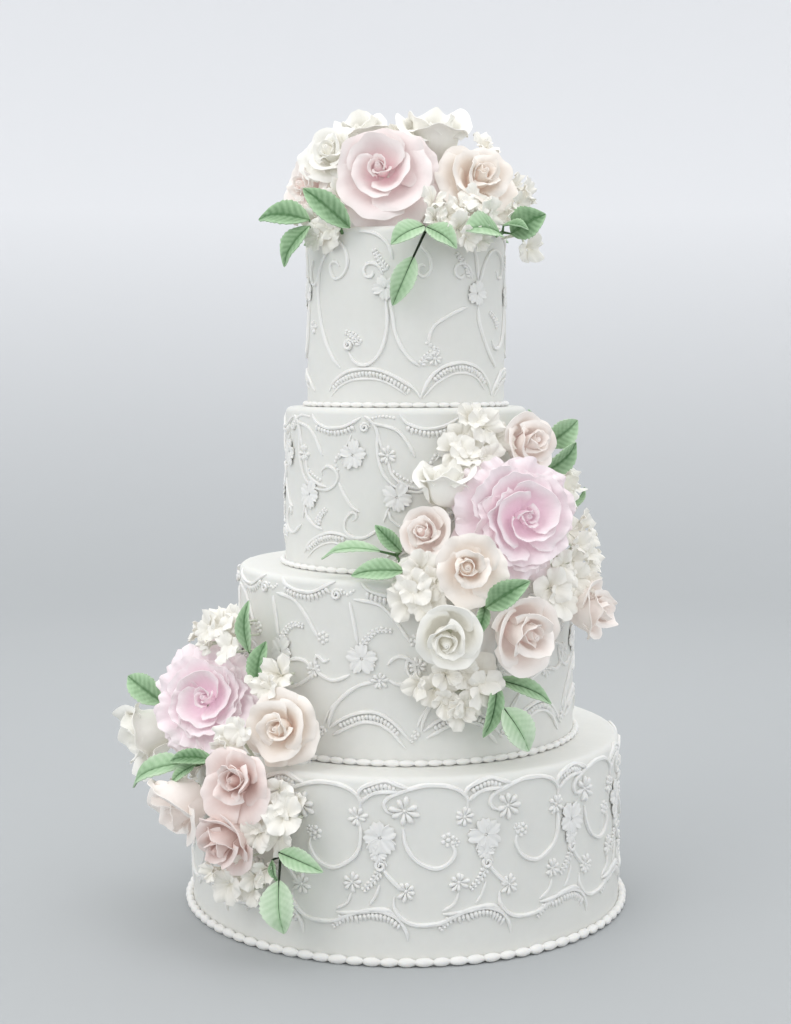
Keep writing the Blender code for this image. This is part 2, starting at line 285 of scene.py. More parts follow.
def face_matrix(centre: Vector, direction: Vector, spin: float) -> Matrix:
    """Where a flower's own axes lie.

    Args:
        centre: The flower's middle in mm.
        direction: Which way it faces.
        spin: Degrees it is turned about that way.

    Returns:
        A matrix whose Z is the direction, X to the viewer's right and Y up.
    """
    upright = Vector((0.0, 0.0, 1.0)) if abs(direction.z) < 0.96 else Vector((0.0, 1.0, 0.0))
    right = upright.cross(direction).normalized()
    over = direction.cross(right).normalized()
    turned = Matrix((right, over, direction)).transposed() @ Matrix.Rotation(math.radians(spin), 3, "Z")
    return Matrix.Translation(centre) @ turned.to_4x4()


def finish_piece(obj: Object, slot: str, *nodes: str) -> None:
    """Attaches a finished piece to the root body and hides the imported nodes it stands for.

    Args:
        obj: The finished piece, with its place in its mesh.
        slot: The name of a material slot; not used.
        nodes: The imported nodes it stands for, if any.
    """
    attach(obj, "root")
    if nodes:
        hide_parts(*nodes)
    LOG.info("%s: %d faces, for %s", obj.name, len(obj.data.polygons), ", ".join(nodes) or "no node")


# ------------------------------------------------------------------ finishes
class NodeDesk:
    """Lays out the nodes of one material."""

    def __init__(self, name: str, roughness: float, sheen: float) -> None:
        """Starts a material that has its Principled shader and its Object coordinates.

        Args:
            name: The material's name.
            roughness: How matte it is.
            sheen: The level of its mirror light.
        """
        self.material = bpy.data.materials.new(name)
        self.material.use_nodes = True
        self.tree = self.material.node_tree
        self.shader = self.tree.nodes["Principled BSDF"]
        self.constants(Roughness=roughness, Specular_IOR_Level=sheen)
        self.where = self.add("ShaderNodeTexCoord").outputs["Object"]

    def attribute(self, label: str) -> NodeSocket:
        """A value stored at each point of the mesh."""
        return self.add("ShaderNodeAttribute", attribute_name=label).outputs["Fac"]

    def add(self, kind: str, **settings: object) -> Node:
        """Adds a node.

        Args:
            kind: The node's type.
            settings: Its own settings by name.

        Returns:
            The node.
        """
        node = self.tree.nodes.new(kind)
        for key, value in settings.items():
            setattr(node, key, value)
        return node

    def link(self, source: NodeSocket, target: NodeSocket) -> None:
        """Joins two sockets."""
        self.tree.links.new(source, target)

    def constants(self, **values: object) -> None:
        """Sets the shader's own sockets; an underscore in a name stands for a space."""
        for key, value in values.items():
            self.shader.inputs[key.replace("_", " ")].default_value = value

    def noise(self, scale: float, detail: float = 3.0, roughness: float = 0.55) -> NodeSocket:
        """Noise over the Object coordinates, in turns per metre.

        Args:
            scale: How fine it is.
            detail: How many finer layers it has.
            roughness: How strong those are.

        Returns:
            Its factor.
        """
        node = self.add("ShaderNodeTexNoise")
        node.inputs["Scale"].default_value = scale
        node.inputs["Detail"].default_value = detail
        node.inputs["Roughness"].default_value = roughness
        self.link(self.where, node.inputs["Vector"])
        return node.outputs["Fac"]

    def streaks(self) -> NodeSocket:
        """Fine veins that run along a petal, from how far across it a point lies."""
        across = self.attribute(GRAIN)
        node = self.add("ShaderNodeTexNoise", noise_dimensions="1D")
        node.inputs["Scale"].default_value = 7.0
        node.inputs["Detail"].default_value = 3.0
        self.link(across, node.inputs["W"])
        return node.outputs["Fac"]

    def ramp(self, source: NodeSocket, stops: list[tuple[float, Rgba]]) -> NodeSocket:
        """A colour ramp.

        Args:
            source: What it reads.
            stops: Places from 0 to 1 with their colours.

        Returns:
            Its colour.
        """
        node = self.add("ShaderNodeValToRGB")
        marks = node.color_ramp.elements
        while len(marks) < len(stops):
            marks.new(0.5)
        for mark, (where, colour) in zip(marks, stops):
            mark.position = where
            mark.color = colour
        self.link(source, node.inputs["Fac"])
        return node.outputs["Color"]

    def paint(self, source: NodeSocket, *stops: tuple[float, Rgba]) -> None:
        """Colours the shader by a ramp over a source."""
        self.link(self.ramp(source, list(stops)), self.shader.inputs["Base Color"])

    def bump(self, height: NodeSocket, strength: float, depth: float) -> None:
        """Gives the surface relief.

        Args:
            height: The height's source, from 0 to 1.
            strength: How strong it is.
            depth: The height in mm that 1 stands for.
        """
        node = self.add("ShaderNodeBump")
        node.inputs["Strength"].default_value = strength
        node.inputs["Distance"].default_value = depth * MM
        self.link(height, node.inputs["Height"])
        self.link(node.outputs["Normal"], self.shader.inputs["Normal"])

    def tinted(self, source: NodeSocket, drift: NodeSocket, share: float) -> NodeSocket:
        """Shifts a value by some noise.

        Args:
            source: The value.
            drift: Noise from 0 to 1.
            share: How far the noise shifts it.

        Returns:
            The shifted value.
        """
        centred = self.add("ShaderNodeMath", operation="SUBTRACT")
        centred.inputs[1].default_value = 0.5
        self.link(drift, centred.inputs[0])
        scaled = self.add("ShaderNodeMath", operation="MULTIPLY_ADD")
        scaled.inputs[1].default_value = share
        self.link(centred.outputs[0], scaled.inputs[0])
        self.link(source, scaled.inputs[2])
        return scaled.outputs[0]


@dataclass(frozen=True)
class IcingFinish:
    """Fondant or royal icing: a pale matte paste with faint clouds and a fine grain."""

    name: str
    light: Rgba
    shade: Rgba
    roughness: float
    grain: float
    grain_scale: float
    glow: float = 0.0

    def material(self) -> Material:
        """Builds the material."""
        desk = NodeDesk(self.name, self.roughness, 0.35)
        if self.glow > 0.0:
            desk.constants(
                Subsurface_Weight=self.glow,
                Subsurface_Radius=(1.0, 0.8, 0.6),
                Subsurface_Scale=2.0 * MM,
            )
        cloud = desk.tinted(desk.noise(14.0, 2.0), desk.noise(160.0, 3.0), 0.4)
        desk.paint(cloud, (0.3, self.shade), (0.7, self.light))
        desk.bump(desk.noise(self.grain_scale, 4.0), self.grain, 0.5)
        return desk.material


@dataclass(frozen=True)
class PetalFinish:
    """Sugar paste, deep in the flower's heart and pale at the petals' rims; the deep heart is partly the
    paste's dusting and partly painted shade, and a faint emission is painted fill light that lifts the
    shade between petals.
    """

    name: str
    heart: Rgba
    middle: Rgba
    rim: Rgba
    # glow: the emission strength, painted fill light in the paste's middle colour.
    glow: float = 0.09
    crinkle: float = 0.3

    def material(self) -> Material:
        """Builds the material."""
        desk = NodeDesk(self.name, 0.62, 0.3)
        # Painted fill light: the paste glows faintly in its middle colour, which lifts the shade between
        # petals.
        desk.constants(Emission_Color=self.middle, Emission_Strength=self.glow)
        tone = desk.attribute(TONE)
        veins = desk.streaks()
        mixed = desk.tinted(desk.tinted(tone, desk.noise(90.0, 2.0), 0.2), veins, 0.12)
        desk.paint(mixed, (0.0, self.heart), (0.42, self.middle), (1.0, self.rim))
        desk.bump(desk.tinted(veins, desk.noise(300.0, 3.0), 0.4), 0.4, self.crinkle)
        return desk.material


@dataclass(frozen=True)
class LeafFinish:
    """Dusted green leaf paste, paler at the edge and darker along the veins and midrib, which is painted
    shade for their pressed grooves.
    """

    name: str
    vein: Rgba
    middle: Rgba
    edge: Rgba

    def material(self) -> Material:
        """Builds the material."""
        desk = NodeDesk(self.name, 0.72, 0.25)
        tone = desk.attribute(TONE)
        mixed = desk.tinted(tone, desk.noise(180.0, 4.0, 0.6), 0.35)
        desk.paint(mixed, (0.0, self.vein), (0.5, self.middle), (1.0, self.edge))
        desk.bump(desk.noise(700.0, 3.0), 0.25, 0.3)
        return desk.material


@dataclass(frozen=True)
class TapeFinish:
    """Dark green florist's tape, wound round the wires."""

    name: str
    light: Rgba
    dark: Rgba

    def material(self) -> Material:
        """Builds the material."""
        desk = NodeDesk(self.name, 0.7, 0.25)
        crepe = desk.noise(900.0, 2.0)
        desk.paint(crepe, (0.35, self.dark), (0.65, self.light))
        desk.bump(crepe, 0.5, 0.3)
        return desk.material


@dataclass(frozen=True)
class StageFinish:
    """Matte pale paint for the studio's floor and wall, darker towards the floor: painted shade."""

    name: str
    low: Rgba
    high: Rgba

    def material(self) -> Material:
        """Builds the material."""
        desk = NodeDesk(self.name, 0.9, 0.1)
        split = desk.add("ShaderNodeSeparateXYZ")
        desk.link(desk.where, split.inputs["Vector"])
        drift = desk.tinted(split.outputs["Z"], desk.noise(3.0, 2.0), 0.02)
        # Painted shade: the colour darkens from 0.85 m down to the floor.
        desk.paint(drift, (0.0, self.low), (0.85, self.high))
        return desk.material


class Paste(Enum):
    """The colours of sugar paste; the first two words of each give its slot's name."""

    PINK = "petals_pink"
    PALE = "petals_pink_pale"
    BLUSH = "petals_blush"
    MAUVE = "petals_blush_deep"
    PEACH = "petals_peach"
    WHITE = "petals_white"
    BLOSSOM = "petals_white_blossom"

    @property
    def slot(self) -> str:
        """The slot name for this paste."""
        return "_".join(self.value.split("_")[:2])


class Larder:
    """Makes each finish once and hands it out."""

    def __init__(self) -> None:
        """Builds every material of the cake and the studio."""
        self.fondant = IcingFinish(
            "fondant", linear(233, 233, 228), linear(228, 228, 223), 0.55, 0.10, 260.0, 0.1
        ).material()
        self.icing = IcingFinish(
            "royal_icing", linear(244, 243, 240), linear(239, 238, 234), 0.66, 0.22, 600.0, 0.1
        ).material()
        # The leaf's darkest green is painted shade along its veins and midrib.
        self.leaf = LeafFinish(
            "leaf_paste", linear(74, 114, 70), linear(168, 200, 160), linear(214, 232, 206)
        ).material()
        self.tape = TapeFinish("florist_tape", linear(52, 66, 48), linear(26, 34, 24)).material()
        self.stalk = TapeFinish("leaf_tape", linear(118, 150, 108), linear(88, 122, 80)).material()
        self.calyx = TapeFinish("calyx_paste", linear(226, 229, 214), linear(208, 213, 194)).material()
        # The floor's darker grey is painted shade; the wall pales upwards.
        self.stage = StageFinish("studio_paint", linear(180, 183, 184), linear(230, 231, 233)).material()
        # Heart, middle and rim colours of each paste. A deep heart is partly the paste's dusting and partly
        # painted shade at the petals' roots, deepest in the mauve; the pink heart is painted lighter than
        # its middle instead, a painted light against the shade deep in the peony's cup.
        heart_mid_rim = {
            Paste.PINK: ((253, 228, 240), (244, 224, 231), (244, 237, 238)),
            Paste.PALE: ((234, 192, 200), (236, 220, 219), (241, 234, 231)),
            Paste.BLUSH: ((230, 186, 184), (240, 229, 223), (243, 239, 234)),
            Paste.MAUVE: ((178, 118, 111), (221, 197, 190), (240, 231, 227)),
            Paste.PEACH: ((232, 191, 169), (238, 228, 218), (242, 237, 231)),
            Paste.WHITE: ((234, 231, 216), (239, 237, 229), (242, 241, 236)),
            Paste.BLOSSOM: ((224, 220, 198), (236, 233, 224), (241, 239, 233)),
        }
        self.pastes = {
            paste: PetalFinish(
                paste.value,
                *(linear(*colour) for colour in colours),
                crinkle=0.9 if paste is Paste.PINK else 0.3,
            ).material()
            for paste, colours in heart_mid_rim.items()
        }


# ------------------------------------------------------------------ the studio
@dataclass(frozen=True)
class Lamp:
    """A soft square light: its place and aim in metres, its side, its power in watts and its tint."""

    name: str
    where: Triple
    aim: Triple
    side: float
    power: float
    tint: Triple

    def build(self) -> None:
        """Adds the light."""
        deselect_all()
        bpy.ops.object.light_add(type="AREA", location=self.where)
        lamp = added(self.name)
        lamp.rotation_euler = (Vector(self.aim) - Vector(self.where)).to_track_quat("-Z", "Y").to_euler()
        lamp.data.shape = "SQUARE"
        lamp.data.size = self.side
        lamp.data.energy = self.power
        lamp.data.color = self.tint


LAMPS = (
    Lamp("key_light", (-1.9, -1.7, 2.1), (0.0, 0.0, 0.3), 1.8, 17.5, (1.0, 0.99, 0.975)),
    Lamp("fill_light", (2.0, -1.6, 1.0), (0.0, 0.0, 0.3), 2.2, 6.0, (0.98, 0.99, 1.0)),
    Lamp("top_light", (0.1, 0.2, 2.4), (0.0, 0.0, 0.4), 1.6, 9.0, (1.0, 1.0, 1.0)),
)


@dataclass(frozen=True)
class Studio:
    """A round pale floor that curves up into a low wall, soft lights and the camera, in metres."""

    camera_place: Triple = (-0.008, -1.247, 0.3965)
    lens: float = 56.6
    sensor: float = 36.0
    shift_up: float = -0.132
    floor_radius: float = 1.6
    cove_radius: float = 2.1
    cove_turn: float = 86.0
    cove_steps: int = 20
    cove_sides: int = 96
    air: Triple = (241, 242, 244)
    air_strength: float = 1.25

    def build(self, larder: Larder) -> None:
        """Builds everything that isn't the cake.

        Args:
            larder: Where the finishes are.
        """
        self._cove(larder.stage)
        self._camera()
        for lamp in LAMPS:
            lamp.build()
        self._world()
        bpy.context.scene.view_settings.view_transform = "Standard"
        bpy.context.scene.view_settings.look = "None"

    def _cove(self, finish: Material) -> None:
        """Extrudes the floor's rim outwards and up into a wall with a rounded foot.

        Args:
            finish: The floor's and the wall's paint.
        """
        deselect_all()
        bpy.ops.mesh.primitive_circle_add(
            vertices=self.cove_sides, radius=self.floor_radius, fill_type="TRIFAN"
        )
        cove = added("studio_cove")
        rims = []
        for step in range(1, self.cove_steps + 1):
            turn = math.radians(self.cove_turn * step / self.cove_steps)
            wider = self.floor_radius + self.cove_radius * math.sin(turn)
            rims.append((wider, self.cove_radius * (1.0 - math.cos(turn))))
        bpy.ops.object.mode_set(mode="EDIT")
        bpy.ops.mesh.select_mode(type="EDGE")
        bpy.ops.mesh.select_all(action="SELECT")
        bpy.ops.mesh.region_to_loop()
        reach, height = self.floor_radius, 0.0
        for wider, higher in rims:
            bpy.ops.mesh.extrude_edges_move(TRANSFORM_OT_translate={"value": (0.0, 0.0, higher - height)})
            bpy.ops.transform.resize(value=(wider / reach, wider / reach, 1.0))
            reach, height = wider, higher
        bpy.ops.mesh.select_all(action="SELECT")
        bpy.ops.mesh.normals_make_consistent(inside=True)
        bpy.ops.object.mode_set(mode="OBJECT")
        pick(cove)
        bpy.ops.object.shade_smooth()
        cove.data.materials.append(finish)
        LOG.info("studio cove: %d faces", len(cove.data.polygons))

    def _camera(self) -> None:
        """Adds the camera, level and straight ahead, with its view shifted down."""
        deselect_all()
        bpy.ops.object.camera_add(location=self.camera_place, rotation=(math.radians(90.0), 0.0, 0.0))
        camera = added("camera")
        camera.data.lens = self.lens
        camera.data.sensor_width = self.sensor
        camera.data.sensor_fit = "AUTO"
        camera.data.shift_x = 0.0
        camera.data.shift_y = self.shift_up
        camera.data.clip_start = 0.05
        camera.data.clip_end = 30.0
        camera.data.dof.use_dof = False
        bpy.context.scene.camera = camera

    def _world(self) -> None:
        """Fills the room with pale light."""
        world = bpy.data.worlds.new("studio_air")
        world.use_nodes = True
        background = world.node_tree.nodes["Background"]
        background.inputs["Color"].default_value = linear(*self.air)
        background.inputs["Strength"].default_value = self.air_strength
        bpy.context.scene.world = world


# ------------------------------------------------------------------ tiers
@dataclass(frozen=True)
class Tier:
    """One round of cake under fondant; its wall can be drawn on as if it were flat."""

    name: str
    radius: float
    height: float
    foot: float
    sides: int = 160

    def build(self, larder: Larder) -> Object:
        """Turns a cylinder into an iced tier with a soft top edge.

        Args:
            larder: Where the finishes are.

        Returns:
            The tier.
        """
        deselect_all()
        bpy.ops.mesh.primitive_cylinder_add(
            vertices=self.sides,
            radius=self.radius * MM,
            depth=self.height * MM,
            location=(0.0, 0.0, (self.foot + self.height / 2.0) * MM),
        )
        tier = added(f"fondant_{self.name}")
        pick(tier)
        bpy.ops.object.transform_apply(location=True, rotation=True, scale=True)
        top = (self.foot + self.height) * MM
        self._select(tier, "EDGE", lambda points: all(p.z > top - 1e-5 for p in points))
        bpy.ops.mesh.bevel(offset=EDGE_RADIUS * MM, segments=EDGE_SEGMENTS, affect="EDGES")
        self._select(tier, "FACE", lambda points: len(points) > 8)
        for width in TOP_INSETS:
            bpy.ops.mesh.inset(thickness=width * MM)
        for step in range(1, WALL_STEPS):
            bpy.ops.mesh.select_all(action="SELECT")
            level = self.foot + (self.height - EDGE_RADIUS) * step / WALL_STEPS
            bpy.ops.mesh.bisect(plane_co=(0.0, 0.0, level * MM), plane_no=(0.0, 0.0, 1.0))
        bpy.ops.object.mode_set(mode="OBJECT")
        self._soften(tier)
        turn_faces_out(tier)
        dress(tier, larder.fondant, 40.0)
        return tier

    def _select(self, obj: Object, kind: str, wanted: Callable[[list[Vector]], bool]) -> None:
        """Goes into edit mode and selects the edges or faces whose points pass the test.

        Args:
            obj: The object.
            kind: EDGE or FACE.
            wanted: The test on a list of points.
        """
        pick(obj)
        bpy.ops.object.mode_set(mode="EDIT")
        bpy.ops.mesh.select_mode(type=kind)
        bpy.ops.mesh.select_all(action="DESELECT")
        bpy.ops.object.mode_set(mode="OBJECT")
        points = obj.data.vertices
        for item in obj.data.edges if kind == "EDGE" else obj.data.polygons:
            item.select = wanted([points[i].co for i in item.vertices])
        bpy.ops.object.mode_set(mode="EDIT")

    def _soften(self, obj: Object) -> None:
        """Lets the hand-smoothed wall waver by a fraction of a millimetre, always inwards."""
        points = read_points(obj.data)
        angle = np.arctan2(points[:, 0], -points[:, 1])
        reach = np.hypot(points[:, 0], points[:, 1])
        height = points[:, 2] / MM - self.foot
        wave = np.sin(5.0 * angle + 0.04 * height + self.radius) + np.sin(9.0 * angle - 0.06 * height)
        reach_new = reach - MM * 0.09 * (2.0 + wave) * np.clip(reach / (self.radius * MM), 0.0, 1.0) ** 6
        share = np.where(reach > 1e-9, reach_new / np.maximum(reach, 1e-9), 1.0)
        points[:, 0] *= share
        points[:, 1] *= share
        write_points(obj.data, points)

    def wrap(self, points: np.ndarray) -> np.ndarray:
        """Lays flat drawing points on the wall, over the rounded edge and on to the top.

        Args:
            points: Rows of length along the wall, height above the foot and distance off the icing.

        Returns:
            Rows of x, y and z in metres.
        """
        along, up, off = points[:, 0], points[:, 1], points[:, 2]
        straight = self.height - EDGE_RADIUS
        over = np.maximum(up - straight, 0.0)
        bend = np.minimum(over / EDGE_RADIUS, math.pi / 2.0)
        past = np.maximum(over - EDGE_RADIUS * math.pi / 2.0, 0.0)
        reach = self.radius - 0.15 - EDGE_RADIUS * (1.0 - np.cos(bend)) - past + off * np.cos(bend)
        height = np.where(over > 0.0, straight + EDGE_RADIUS * np.sin(bend), up) + off * np.sin(bend)
        angle = along / self.radius
        found = np.stack([reach * np.sin(angle), -reach * np.cos(angle), self.foot + height], axis=1)
        return found * MM


TIERS = (
    Tier("base", 163.0, 126.0, 0.0),
    Tier("lower_middle", 128.5, 128.0, 126.0),
    Tier("upper_middle", 93.0, 120.0, 254.0),
    Tier("top", 76.0, 133.0, 374.0),
)


@dataclass(frozen=True)
class Mound:
    """A lump of icing, pressed on the cake, that wires are pushed into."""

    name: str
    where: Triple
    radii: Triple

    def seat(self) -> Matrix:
        """The matrix from the lump's own axes, which are across, up and out, to mm."""
        return face_matrix(place(*self.where), facing(self.where[0], 0.0), 0.0)

    def meet(self, point: Vector) -> Vector:
        """Where a wire from a point goes in.

        Args:
            point: A point in mm.

        Returns:
            The place, just under the lump's surface.
        """
        inner = self.seat().inverted() @ point
        share = Vector([part / radius for part, radius in zip(inner, self.radii)]).length
        return self.seat() @ (inner * min(1.0, 0.93 / max(share, 0.01)))

    def build(self, larder: Larder) -> Object:
        """Presses a ball into an uneven lump.

        Args:
            larder: Where the finishes are.

        Returns:
            The lump.
        """
        deselect_all()
        bpy.ops.mesh.primitive_ico_sphere_add(subdivisions=5, radius=1.0)
        lump = added(self.name)
        points = read_points(lump.data)
        x, y, z = points.T
        dents = 0.05 * np.sin(5.0 * x + 2.0 * y) * np.cos(4.0 * z - 3.0 * y)
        dents = dents + 0.02 * np.sin(13.0 * x + 9.0 * z)
        points = points * (0.97 + dents)[:, None] * np.array(self.radii)
        write_points(lump.data, points)
        lump.data.transform(Matrix.Scale(MM, 4) @ self.seat())
        turn_faces_out(lump)
        dress(lump, larder.icing, SOFT_EDGE)
        return lump


MOUNDS = (
    Mound("mound_top", (0, 0, 506), (52, 44, 52)),
    Mound("mound_right_high", (36, 104, 260), (34, 46, 20)),
    Mound("mound_right_low", (20, 126, 214), (20, 30, 16)),
    Mound("mound_left_high", (-60, 139, 134), (36, 30, 14)),
    Mound("mound_left_middle", (-37, 138, 130), (18, 22, 12)),
    Mound("mound_left_low", (-46, 160, 92), (30, 32, 14)),
)


def nearest_icing(point: Vector) -> Vector:
    """Where on the cake's icing, or in a lump of paste, a wire from this point goes in.

    Args:
        point: A point in mm.

    Returns:
        The nearest place on a wall, ledge or lump, in mm.
    """
    reach = math.hypot(point.x, point.y)
    outward = Vector((point.x, point.y, 0.0)).normalized()
    found = []
    for tier in TIERS:
        top = tier.foot + tier.height
        ledge = min(reach, tier.radius - EDGE_RADIUS - LEDGE_MARGIN)
        if point.z > top:
            spot = outward * ledge + Vector((0.0, 0.0, top + GAP))
            found.append(((point - spot).length, spot))
        elif point.z > tier.foot + FOOT_MARGIN:
            spot = outward * (tier.radius + GAP) + Vector((0.0, 0.0, min(point.z, top - EDGE_RADIUS)))
            found.append(((point - spot).length, spot))
    spots = [mound.meet(point) for mound in MOUNDS]
    found.extend(((point - spot).length, spot) for spot in spots)
    return min(found, key=lambda pair: pair[0])[1]


# ------------------------------------------------------------------ piped borders
@dataclass(frozen=True)
class PearlBorder:
    """A row of piped shells round the foot of a tier."""

    tier: Tier
    pearls: int
    thickness: float

    def build(self, larder: Larder) -> Object:
        """Models one shell from a ball and sets copies of it round the tier.

        Args:
            larder: Where the finishes are.

        Returns:
            The border.
        """
        pattern = self._shell()
        dice = np.random.default_rng(self.pearls)
        copies = []
        for number in range(self.pearls):
            shell = pattern.copy()
            shell.data = pattern.data.copy()
            show(shell)
            angle = 360.0 * number / self.pearls
            reach = self.tier.radius + self.thickness * 0.5 - 0.3
            middle = place(angle, reach, self.tier.foot + self.thickness * 0.5) * MM
            turned = Matrix.Rotation(math.radians(angle + dice.normal(0.0, 2.0)), 4, "Z")
            size = Matrix.Diagonal((1.0 + dice.normal(0.0, 0.05), *(1.0 + dice.normal(0.0, 0.04, 2)), 1.0))
            shell.data.transform(Matrix.Translation(middle) @ turned @ size)
            copies.append(shell)
        bpy.data.objects.remove(pattern)
        border = join(copies, f"pearls_{self.tier.name}")
        dress(border, larder.icing, 70.0)
        return border

    def _shell(self) -> Object:
        """A ball drawn out into a shell whose thick end lies over the last one's tail."""
        deselect_all()
        half = self.thickness / 2.0 * MM
        bpy.ops.mesh.primitive_uv_sphere_add(segments=12, ring_count=8, radius=half)
        shell = bpy.context.active_object
        pitch = 2.0 * math.pi * self.tier.radius / self.pearls * MM
        for point in shell.data.vertices:
            share = point.co.x / half
            swell = 1.10 - 0.40 * share
            point.co.x = point.co.x / half * pitch * 0.62
            point.co.y *= swell * 0.98
            point.co.z *= min(swell, 1.02)
            point.co.z = max(point.co.z, -half + 0.02 * MM)
        return shell


# ------------------------------------------------------------------ piped scrollwork
class Mark(Enum):
    """What the decorator pipes or lays on the wall in one go."""

    LINE = "line"
    FINE = "fine line"
    BEADS = "row of dots"
    COMB = "row of drops that hang from a line"
    FERN = "drops on both sides of a line"
    DAISY = "daisy of drops"
    DOTS = "cluster of dots"
    SWIRL = "small swirl"
    CUTOUT = "cut-out blossom"


@dataclass(frozen=True)
class Stroke:
    """One mark and where it goes: lengths along the wall and heights above the tier's foot, in mm."""

    mark: Mark
    points: tuple[Pair, ...]
    size: float = 0.0

    def shifted(self, along: float) -> "Stroke":
        """The same mark further along the wall."""
        return Stroke(self.mark, tuple((s + along, z) for s, z in self.points), self.size)


def line(*points: Pair) -> Stroke:
    """A piped line through points."""
    return Stroke(Mark.LINE, points)


def fine(*points: Pair) -> Stroke:
    """A thinner line through points."""
    return Stroke(Mark.FINE, points)


def beads(size: float, *points: Pair) -> Stroke:
    """Dots of a radius along a line."""
    return Stroke(Mark.BEADS, points, size)


def comb(size: float, *points: Pair) -> Stroke:
    """Drops of a length under a line."""
    return Stroke(Mark.COMB, points, size)


def fern(size: float, *points: Pair) -> Stroke:
    """Drops of a length on both sides of a line."""
    return Stroke(Mark.FERN, points, size)


def daisy(along: float, up: float, size: float) -> Stroke:
    """A daisy of a radius."""
    return Stroke(Mark.DAISY, ((along, up),), size)


def dots(along: float, up: float, size: float) -> Stroke:
    """A cluster of dots of a radius."""
    return Stroke(Mark.DOTS, ((along, up),), size)


def swirl(along: float, up: float, size: float) -> Stroke:
    """A small rosette of a radius."""
    return Stroke(Mark.SWIRL, ((along, up),), size)


def cutout(along: float, up: float, size: float) -> Stroke:
    """A cut-out blossom of a radius."""
    return Stroke(Mark.CUTOUT, ((along, up),), size)


def unit(tangent: np.ndarray) -> np.ndarray:
    """The direction of a flat vector that may be close to nothing."""
    return tangent / (np.hypot(*tangent) + 1e-9)


def through(points: tuple[Pair, ...], step: float) -> np.ndarray:
    """A smooth line through points, with even steps.

    Args:
        points: The points it passes.
        step: The length of a step in mm.

    Returns:
        Rows of length along the wall and height.
    """
    knots = np.array(points, float)
    if len(knots) == 2:
        fine = knots[0] + (knots[1] - knots[0]) * np.linspace(0.0, 1.0, 12)[:, None]
    else:
        padded = np.vstack([2 * knots[0] - knots[1], knots, 2 * knots[-1] - knots[-2]])
        fine = []
        share = np.linspace(0.0, 1.0, 12, endpoint=False)[:, None]
        for i in range(1, len(padded) - 2):
            a, b, c, d = padded[i - 1 : i + 3]
            fine.append(
                0.5
                * (
                    2 * b
                    + (c - a) * share
                    + (2 * a - 5 * b + 4 * c - d) * share**2
                    + (3 * b - 3 * c + d - a) * share**3
                )
            )
        fine = np.vstack([*fine, knots[-1:]])
    lengths = np.concatenate([[0.0], np.cumsum(np.hypot(*np.diff(fine, axis=0).T))])
    count = max(2, int(round(lengths[-1] / step)) + 1)
    even = np.linspace(0.0, lengths[-1], count)
    return np.stack([np.interp(even, lengths, fine[:, 0]), np.interp(even, lengths, fine[:, 1])], axis=1)


